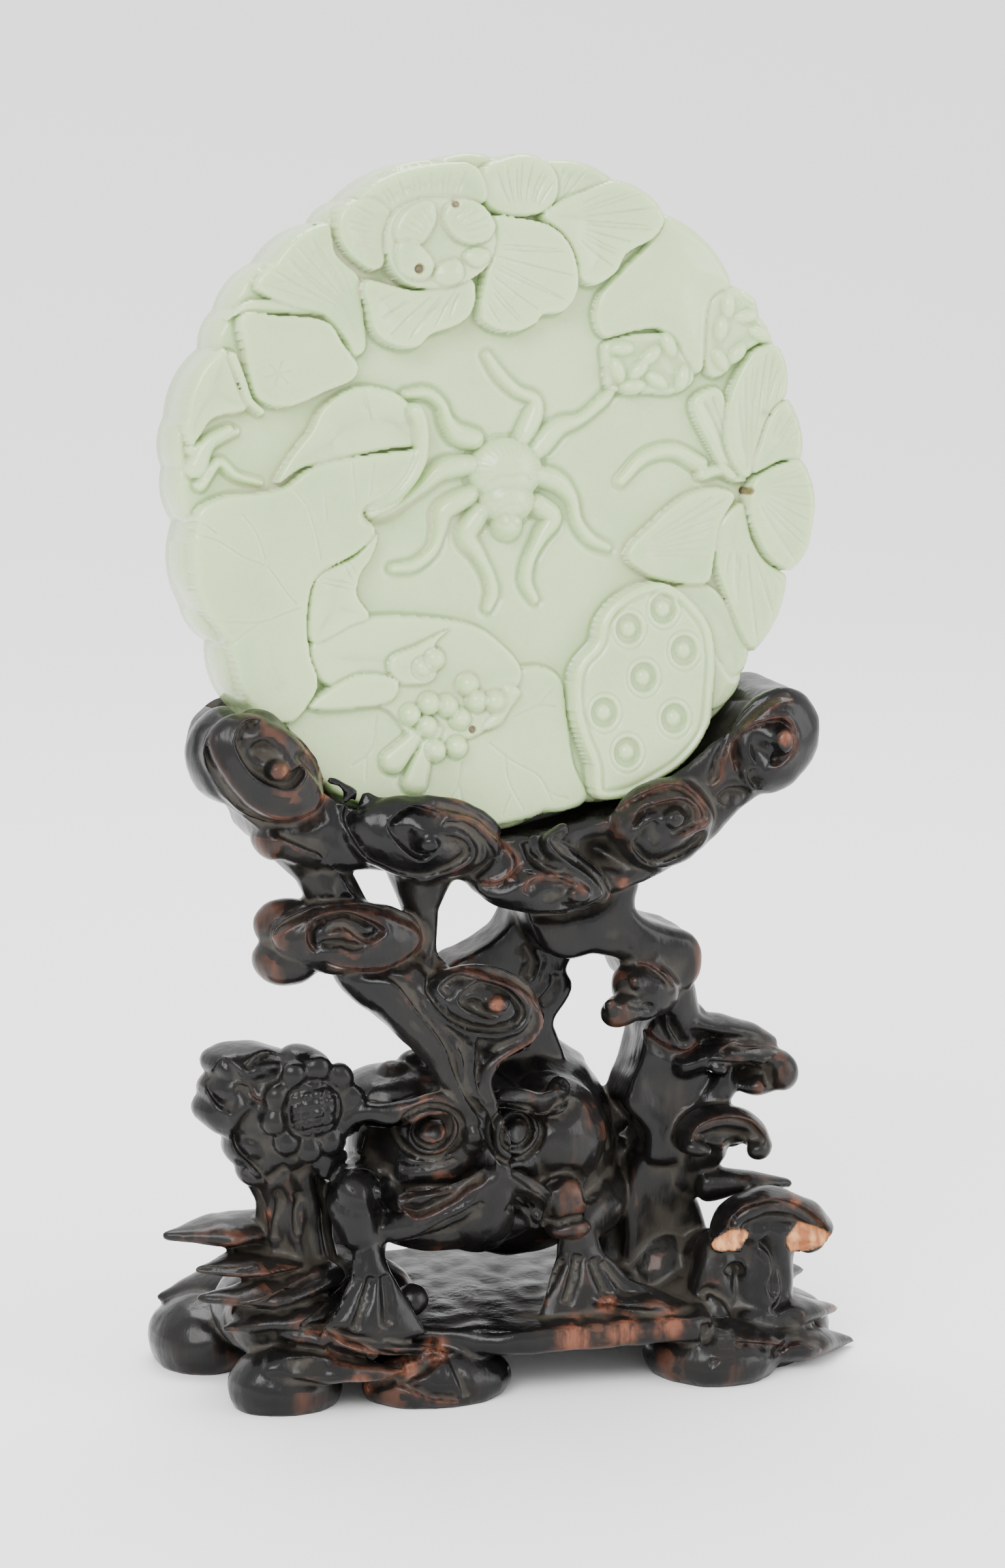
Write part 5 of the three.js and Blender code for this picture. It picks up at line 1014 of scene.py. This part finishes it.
def carveStand(points, normals):
    # how far each point sinks, and how rubbed it is
    sunk, raised, wear = np.zeros((3, len(points)))
    facing = normals[:, 1] < -0.12
    weight = smoothStep(0.12, 0.42, -normals[:, 1])
    for depth, fall, drop, reach, rub, line in strokes:
        path = roundedPath(line, False, 4)
        ids, spots = closeTo(points, facing, depth, path.min(0) - reach, path.max(0) + reach)
        gap, side, along = lineGap(spots, path)
        ends = smoothStep(0, 0.08, along) * smoothStep(1, 0.92, along) * weight[ids]
        if fall:
            inward = gap * side * fall
            cut = drop * smoothStep(-0.1, 0.42, inward) * np.clip(1 - inward / reach, 0, 1) ** 1.1
            lip = 0.28 * np.exp(-((inward + 0.3) / 0.4) ** 2)
        else:
            cut = drop * np.clip(1 - gap / reach * 1.2, 0, 1) ** 1.3
            lip = 0
        sunk[ids] = np.maximum(sunk[ids], cut * ends)
        raised[ids] = np.maximum(raised[ids], lip * ends)
        wear[ids] = np.maximum(wear[ids], rub * np.exp(-(gap / 0.45) ** 2) * ends)
    for place, depth, wide, tall, turn, deep in dents:
        span = max(wide, tall) * 2
        ids, spots = closeTo(points, facing, depth, np.array(place) - span, np.array(place) + span)
        rho = ovalGap(spots, place, wide, tall, turn)
        if deep > 0:
            sunk[ids] += deep * np.exp(-rho ** 2 * 1.1) * weight[ids]
        else:
            raised[ids] = np.maximum(raised[ids], -deep * smoothStep(1.15, 0.55, rho) * weight[ids])
            sunk[ids] *= 1 - 0.8 * smoothStep(1.2, 0.8, rho)
    for place, depth, wide, tall in eyes:
        ids, spots = closeTo(points, facing, depth, np.array(place) - 5, np.array(place) + 5)
        rho = ovalGap(spots, place, wide, tall)
        socket = 1.1 * np.exp(-((rho - 1.28) / 0.14) ** 2) + 1.0 * np.exp(-((rho - 0.7) / 0.1) ** 2)
        ball = 0.75 * np.sqrt(np.clip(1 - (rho / 0.62) ** 2, 0, 1)) + 0.35 * np.exp(-((rho - 0.96) / 0.12) ** 2)
        sunk[ids] = sunk[ids] * smoothStep(0.9, 1.3, rho) + socket * weight[ids]
        raised[ids] = raised[ids] * smoothStep(0.9, 1.3, rho) + ball * weight[ids]
    for place, depth, reach in rubbedSpots:
        ids, spots = closeTo(points, facing, depth, np.array(place) - 6, np.array(place) + 6)
        wear[ids] = np.maximum(wear[ids], smoothStep(reach, reach * 0.4, ovalGap(spots, place, 1, 1)))
    seeds = hatchedPod(points, facing, weight)
    return sunk - raised + seeds, wear


def hatchedPod(points, facing, weight):
    # the seed pod is cut with crossed grooves inside a plain rim
    sunk = np.zeros(len(points))
    ids, spots = closeTo(points, facing, -13.5, (-32.5, 31.5), (-23, 41))
    rho = ovalGap(spots, (-28.1, 36.7), 3.5, 3.4)
    x, z = (spots - np.array((-28.1, 36.7))).T
    across = z - 0.14 * x
    lines = np.maximum(np.exp(-((across / 1.25 - np.round(across / 1.25)) * 1.25 / 0.2) ** 2),
                       np.exp(-((x / 1.5 - np.round(x / 1.5)) * 1.5 / 0.2) ** 2))
    rim = np.exp(-((rho - 1.02) / 0.09) ** 2)
    sunk[ids] = (0.5 * lines * smoothStep(1.0, 0.9, rho) + 0.5 * rim + 0.25 * smoothStep(0.98, 0.9, rho)) * weight[ids]
    return sunk


def breakMask(points, facing):
    # how far inside a broken face each point is, and the depth of that face
    mask, level = np.zeros(len(points)), points[:, 1].copy()
    for outline, depth in breaks:
        loop = np.array(outline)
        ids, spots = closeTo(points, facing, depth, loop.min(0) - 1, loop.max(0) + 1, 4)
        inside = insideDistance(spots, loop)
        mask[ids] = np.maximum(mask[ids], smoothStep(-0.1, 0.15, inside))
        level[ids] = np.where(inside > 0, depth + 0.3 * np.sin(spots[:, 1] * 2.2 + spots[:, 0] * 0.6), level[ids])
    return mask, level


def unevenness(points):
    # the slight wander of a hand-cut surface
    dice = np.random.default_rng(7)
    total = np.zeros(len(points))
    for _ in range(14):
        direction = dice.normal(size=3)
        direction /= np.linalg.norm(direction)
        total += np.sin(points @ direction * math.tau / dice.uniform(2.5, 7) + dice.uniform(0, math.tau))
    return total / 14 ** 0.5 * standSettings["unevenness"]


def joinStand():
    deselectAll()
    for piece in standPieces:
        piece.select_set(True)
    bpy.context.view_layer.objects.active = standPieces[0]
    bpy.ops.object.join()
    stand = bpy.context.object
    stand.name = "wood_stand_carved"
    return stand


def cutAway(stand, tool):
    applyModifier(stand, "BOOLEAN", operation="DIFFERENCE", object=tool, solver="MANIFOLD")
    bpy.data.objects.remove(tool)


def buildStand():
    for build in (buildCrown, buildClouds, buildToad, buildLotus, buildPillar, buildBase):
        build()
    stand = joinStand()
    applyModifier(stand, "REMESH", mode="VOXEL", voxel_size=standSettings["remeshStep"] * milli)
    points = readPoints(stand)
    edges = readEdges(stand)
    for _ in range(standSettings["smoothing"]):
        points = neighbourMean(points, edges, len(points), 1)
    writePoints(stand, points)
    print("stand fused", len(points))
    normals = readNormals(stand)
    sunk, _ = carveStand(points, normals)
    points = points + normals * unevenness(points)[:, None]
    points[:, 1] += sunk
    mask, level = breakMask(points, normals[:, 1] < -0.05)
    points[:, 1] += (level - points[:, 1]) * mask
    soft = neighbourMean(points, edges, len(points), 1)
    points += (soft - points) * standSettings["softening"]
    writePoints(stand, points)
    # the floor and the groove for the plaque are cut last
    deselectAll()
    bpy.ops.mesh.primitive_cube_add(size=1, location=(0, 0, -0.02), scale=(0.2, 0.2, 0.04))
    cutAway(stand, bpy.context.object)
    deselectAll()
    bpy.ops.mesh.primitive_cylinder_add(vertices=160, radius=standSettings["groove"] * milli, depth=0.0152)
    groove = bpy.context.object
    ring = readPoints(groove)
    ring[:, 0] += standSettings["grooveShift"]
    ring[:, 2] += -2.6 - 10 - 0.4 + 7.6
    writePoints(groove, standUp(ring) - np.array(drawnOrigin))
    cutAway(stand, groove)
    print("stand cut", len(stand.data.vertices))
    return stand


stand = buildStand()
triangles = sum(len(p.vertices) - 2 for p in stand.data.polygons)
applyModifier(stand, "DECIMATE", ratio=min(1, standSettings["mostTriangles"] / triangles), use_collapse_triangulate=True)
points = readPoints(stand)
normals = readNormals(stand)
writeAttribute(stand, "hollow", np.clip(-bulgeOf(stand, 14) / 0.16, -1, 1) * 0.5 + 0.5)
writeAttribute(stand, "worn", carveStand(points, normals)[1])
writeAttribute(stand, "fresh", breakMask(points, normals[:, 1] < -0.3)[0])
writePoints(stand, points + np.array(drawnOrigin))
print("stand carved", len(stand.data.polygons))

# ---- materials


def newMaterial(name):
    material = bpy.data.materials.new(name)
    material.use_nodes = True
    material.node_tree.nodes.clear()
    return material


def addNode(tree, kind, **values):
    node = tree.nodes.new(kind)
    for key, value in values.items():
        if key in node.inputs:
            node.inputs[key].default_value = value
        else:
            setattr(node, key, value)
    return node


def ramp(tree, source, stops):
    node = tree.nodes.new("ShaderNodeValToRGB")
    elements = node.color_ramp.elements
    while len(elements) < len(stops):
        elements.new(0.5)
    for element, (place, value) in zip(elements, stops):
        element.position = place
        element.color = (*value, 1) if isinstance(value, tuple) else (value, value, value, 1)
    tree.links.new(source, node.inputs[0])
    return node.outputs[0]


def mixColour(tree, factor, first, second, blend="MIX"):
    node = tree.nodes.new("ShaderNodeMix")
    node.data_type = "RGBA"
    node.blend_type = blend
    for socket, value in ((node.inputs[0], factor), (node.inputs[6], first), (node.inputs[7], second)):
        if isinstance(value, tuple):
            socket.default_value = (*value, 1)
        elif isinstance(value, (int, float)):
            socket.default_value = value
        else:
            tree.links.new(value, socket)
    return node.outputs[2]


def combine(tree, kind, first, second):
    node = tree.nodes.new("ShaderNodeMath")
    node.operation = kind
    for socket, value in zip(node.inputs, (first, second)):
        if isinstance(value, (int, float)):
            socket.default_value = value
        else:
            tree.links.new(value, socket)
    return node.outputs[0]


def surfaceGroup():
    # clouding and specks from the piece's own coordinates, used by both materials
    group = bpy.data.node_groups.new("cloudsAndSpecks", "ShaderNodeTree")
    for name, value in (("Cloud Scale", 60.0), ("Fine Scale", 900.0), ("Speck Scale", 120.0), ("Stretch", 1.0)):
        socket = group.interface.new_socket(name, in_out="INPUT", socket_type="NodeSocketFloat")
        socket.default_value = value
    for name in ("Clouds", "Fine", "Specks"):
        group.interface.new_socket(name, in_out="OUTPUT", socket_type="NodeSocketFloat")
    inside = group.nodes.new("NodeGroupInput")
    outside = group.nodes.new("NodeGroupOutput")
    place = group.nodes.new("ShaderNodeTexCoord")
    stretch = addNode(group, "ShaderNodeCombineXYZ", X=1.0, Y=1.0)
    group.links.new(inside.outputs["Stretch"], stretch.inputs["Z"])
    scaled = addNode(group, "ShaderNodeVectorMath", operation="MULTIPLY")
    group.links.new(place.outputs["Object"], scaled.inputs[0])
    group.links.new(stretch.outputs[0], scaled.inputs[1])
    for name, socket, detail in (("Clouds", "Cloud Scale", 4.0), ("Fine", "Fine Scale", 3.0)):
        noise = addNode(group, "ShaderNodeTexNoise", Detail=detail, Roughness=0.55)
        group.links.new(scaled.outputs[0], noise.inputs["Vector"])
        group.links.new(inside.outputs[socket], noise.inputs["Scale"])
        group.links.new(noise.outputs["Fac"], outside.inputs[name])
    cells = addNode(group, "ShaderNodeTexVoronoi", Randomness=1.0)
    group.links.new(place.outputs["Object"], cells.inputs["Vector"])
    group.links.new(inside.outputs["Speck Scale"], cells.inputs["Scale"])
    near = ramp(group, cells.outputs["Distance"], [(0.0, 1.0), (0.07, 0.0)])
    group.links.new(near, outside.inputs["Specks"])
    return group


surface = surfaceGroup()


def addSurface(tree, **values):
    node = tree.nodes.new("ShaderNodeGroup")
    node.node_tree = surface
    for key, value in values.items():
        node.inputs[key.replace("_", " ")].default_value = value
    return node


def attribute(tree, name):
    node = tree.nodes.new("ShaderNodeAttribute")
    node.attribute_name = name
    return node.outputs["Fac"]


def jadeMaterial():
    look = dict(light=(0.50, 0.62, 0.34), deep=(0.36, 0.50, 0.23), tan=(0.70, 0.64, 0.46), pit=(0.16, 0.12, 0.05))
    material = newMaterial("celadon_jade")
    tree = material.node_tree
    out = addNode(tree, "ShaderNodeOutputMaterial")
    skin = addNode(tree, "ShaderNodeBsdfPrincipled")
    group = addSurface(tree, Cloud_Scale=55.0, Fine_Scale=700.0, Speck_Scale=95.0)
    hollow = attribute(tree, "hollow")
    colour = mixColour(tree, ramp(tree, group.outputs["Clouds"], [(0.35, 0.0), (0.7, 0.55)]), look["light"], look["deep"])
    # painted shade: the sunk places are darkened toward the deep green, standing in for the shade that falls in the
    # hollows
    colour = mixColour(tree, ramp(tree, hollow, [(0.55, 0.0), (0.95, 0.75)]), colour, look["deep"])
    tan = combine(tree, "MULTIPLY", ramp(tree, hollow, [(0.6, 0.0), (1.0, 0.6)]), ramp(tree, group.outputs["Clouds"], [(0.5, 0.0), (0.62, 1.0)]))
    colour = mixColour(tree, tan, colour, look["tan"])
    colour = mixColour(tree, attribute(tree, "pit"), colour, look["pit"])
    specks = combine(tree, "MULTIPLY", group.outputs["Specks"], ramp(tree, group.outputs["Clouds"], [(0.5, 0.0), (0.6, 0.8)]))
    colour = mixColour(tree, specks, colour, look["pit"])
    tree.links.new(colour, skin.inputs["Base Color"])
    tree.links.new(ramp(tree, group.outputs["Fine"], [(0.3, 0.2), (0.75, 0.36)]), skin.inputs["Roughness"])
    bump = addNode(tree, "ShaderNodeBump", Strength=0.12, Distance=0.0002)
    tree.links.new(group.outputs["Fine"], bump.inputs["Height"])
    tree.links.new(bump.outputs[0], skin.inputs["Normal"])
    skin.inputs["Subsurface Weight"].default_value = 0.6
    skin.inputs["Subsurface Radius"].default_value = (0.8, 1.0, 0.6)
    skin.inputs["Subsurface Scale"].default_value = 0.003
    skin.inputs["IOR"].default_value = 1.6
    skin.inputs["Coat Weight"].default_value = 0.25
    skin.inputs["Coat Roughness"].default_value = 0.12
    tree.links.new(skin.outputs[0], out.inputs["Surface"])
    return material


def woodMaterial():
    look = dict(dark=(0.0035, 0.0035, 0.004), brown=(0.010, 0.0085, 0.007), dust=(0.045, 0.039, 0.030),
                rub=(0.17, 0.062, 0.035), fresh=(0.62, 0.30, 0.13), freshDark=(0.33, 0.12, 0.05))
    material = newMaterial("dark_lacquered_wood")
    tree = material.node_tree
    out = addNode(tree, "ShaderNodeOutputMaterial")
    skin = addNode(tree, "ShaderNodeBsdfPrincipled")
    group = addSurface(tree, Cloud_Scale=140.0, Fine_Scale=900.0, Speck_Scale=420.0, Stretch=0.25)
    hollow = attribute(tree, "hollow")
    colour = mixColour(tree, ramp(tree, group.outputs["Clouds"], [(0.35, 0.0), (0.7, 1.0)]), look["dark"], look["brown"])
    dust = combine(tree, "MULTIPLY", ramp(tree, hollow, [(0.5, 0.0), (0.85, 0.8)]), ramp(tree, group.outputs["Clouds"], [(0.4, 0.15), (0.6, 1.0)]))
    colour = mixColour(tree, dust, colour, look["dust"])
    edge = combine(tree, "MULTIPLY", ramp(tree, hollow, [(0.0, 0.4), (0.03, 0.0)]), ramp(tree, group.outputs["Clouds"], [(0.55, 0.0), (0.66, 0.8)]))
    rubbed = combine(tree, "MULTIPLY", attribute(tree, "worn"), ramp(tree, group.outputs["Fine"], [(0.36, 0.1), (0.58, 0.9)]))
    rubbed = combine(tree, "MAXIMUM", edge, rubbed)
    colour = mixColour(tree, rubbed, colour, look["rub"])
    grain = mixColour(tree, ramp(tree, group.outputs["Fine"], [(0.4, 0.0), (0.62, 1.0)]), look["fresh"], look["freshDark"])
    fresh = attribute(tree, "fresh")
    colour = mixColour(tree, fresh, colour, grain)
    tree.links.new(colour, skin.inputs["Base Color"])
    rough = mixColour(tree, dust, ramp(tree, group.outputs["Clouds"], [(0.3, 0.2), (0.8, 0.42)]), (0.6, 0.6, 0.6))
    rough = mixColour(tree, fresh, rough, (0.8, 0.8, 0.8))
    tree.links.new(rough, skin.inputs["Roughness"])
    bump = addNode(tree, "ShaderNodeBump", Strength=0.35, Distance=0.00025)
    tree.links.new(combine(tree, "ADD", group.outputs["Fine"], group.outputs["Clouds"]), bump.inputs["Height"])
    tree.links.new(bump.outputs[0], skin.inputs["Normal"])
    skin.inputs["Specular IOR Level"].default_value = 0.22
    skin.inputs["Coat Weight"].default_value = 0.06
    skin.inputs["Coat Roughness"].default_value = 0.1
    tree.links.new(skin.outputs[0], out.inputs["Surface"])
    return material


def finishPiece(piece, node, material):
    piece.data.materials.clear()
    piece.data.materials.append(material)
    pick(piece)
    bpy.ops.object.shade_smooth()
    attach(piece, "root")
    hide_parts(node)


finishPiece(plaque, "jade_plaque", jadeMaterial())
finishPiece(stand, "carved_stand", woodMaterial())
print("finishes done")

# ---- floor, light and camera

studio = dict(floor=(0.97, 0.97, 0.97), world=1.7, keyPower=7.0, fillPower=2.6, rimPower=3.6)
cameraSettings = dict(azimuth=-18.0, elevation=11.0, lens=110.0, distance=587.16, aimHeight=72.3)


def softBox(name, place, aim, size, power):
    deselectAll()
    bpy.ops.object.light_add(type="AREA", location=Vector(place) * milli)
    lamp = bpy.context.object
    lamp.name = name
    lamp.data.shape = "RECTANGLE"
    lamp.data.size, lamp.data.size_y = size[0] * milli, size[1] * milli
    lamp.data.energy = power
    lamp.rotation_euler = (Vector(aim) - Vector(place)).to_track_quat("-Z", "Y").to_euler()
    return lamp


def buildStudio():
    deselectAll()
    bpy.ops.mesh.primitive_grid_add(x_subdivisions=60, y_subdivisions=60, size=4)
    floor = bpy.context.object
    floor.name = "studio_floor"
    points = readPoints(floor)
    rise = np.clip(points[:, 1] - 500, 0, None)
    points[:, 2] = np.where(rise > 0, rise ** 2 / 1500, 0)
    writePoints(floor, points)
    material = newMaterial("studio_paper")
    tree = material.node_tree
    out = addNode(tree, "ShaderNodeOutputMaterial")
    paper = addNode(tree, "ShaderNodeBsdfPrincipled", Roughness=0.9)
    paper.inputs["Base Color"].default_value = (*studio["floor"], 1)
    tree.links.new(paper.outputs[0], out.inputs["Surface"])
    floor.data.materials.append(material)
    pick(floor)
    bpy.ops.object.shade_smooth()
    softBox("key_softbox", (-420, -520, 620), (0, 0, 80), (520, 420), studio["keyPower"])
    softBox("fill_softbox", (560, -420, 300), (0, 0, 80), (380, 520), studio["fillPower"])
    softBox("top_softbox", (60, 260, 620), (0, 0, 90), (420, 300), studio["rimPower"])
    world = bpy.data.worlds.new("studio_world")
    world.use_nodes = True
    world.node_tree.nodes["Background"].inputs[0].default_value = (1, 1, 1, 1)
    world.node_tree.nodes["Background"].inputs[1].default_value = studio["world"]
    bpy.context.scene.world = world


def buildCamera():
    a, e = math.radians(cameraSettings["azimuth"]), math.radians(cameraSettings["elevation"])
    back = Vector((math.sin(a) * math.cos(e), -math.cos(a) * math.cos(e), math.sin(e)))
    aim = Vector((0, 0, cameraSettings["aimHeight"])) + drawnOrigin
    deselectAll()
    bpy.ops.object.camera_add(location=(aim + back * cameraSettings["distance"]) * milli)
    camera = bpy.context.object
    camera.data.lens = cameraSettings["lens"]
    camera.data.sensor_width = 36
    camera.data.clip_start = 0.01
    camera.rotation_euler = (-back).to_track_quat("-Z", "Y").to_euler()
    bpy.context.scene.camera = camera


buildStudio()
buildCamera()
print("studio ready")
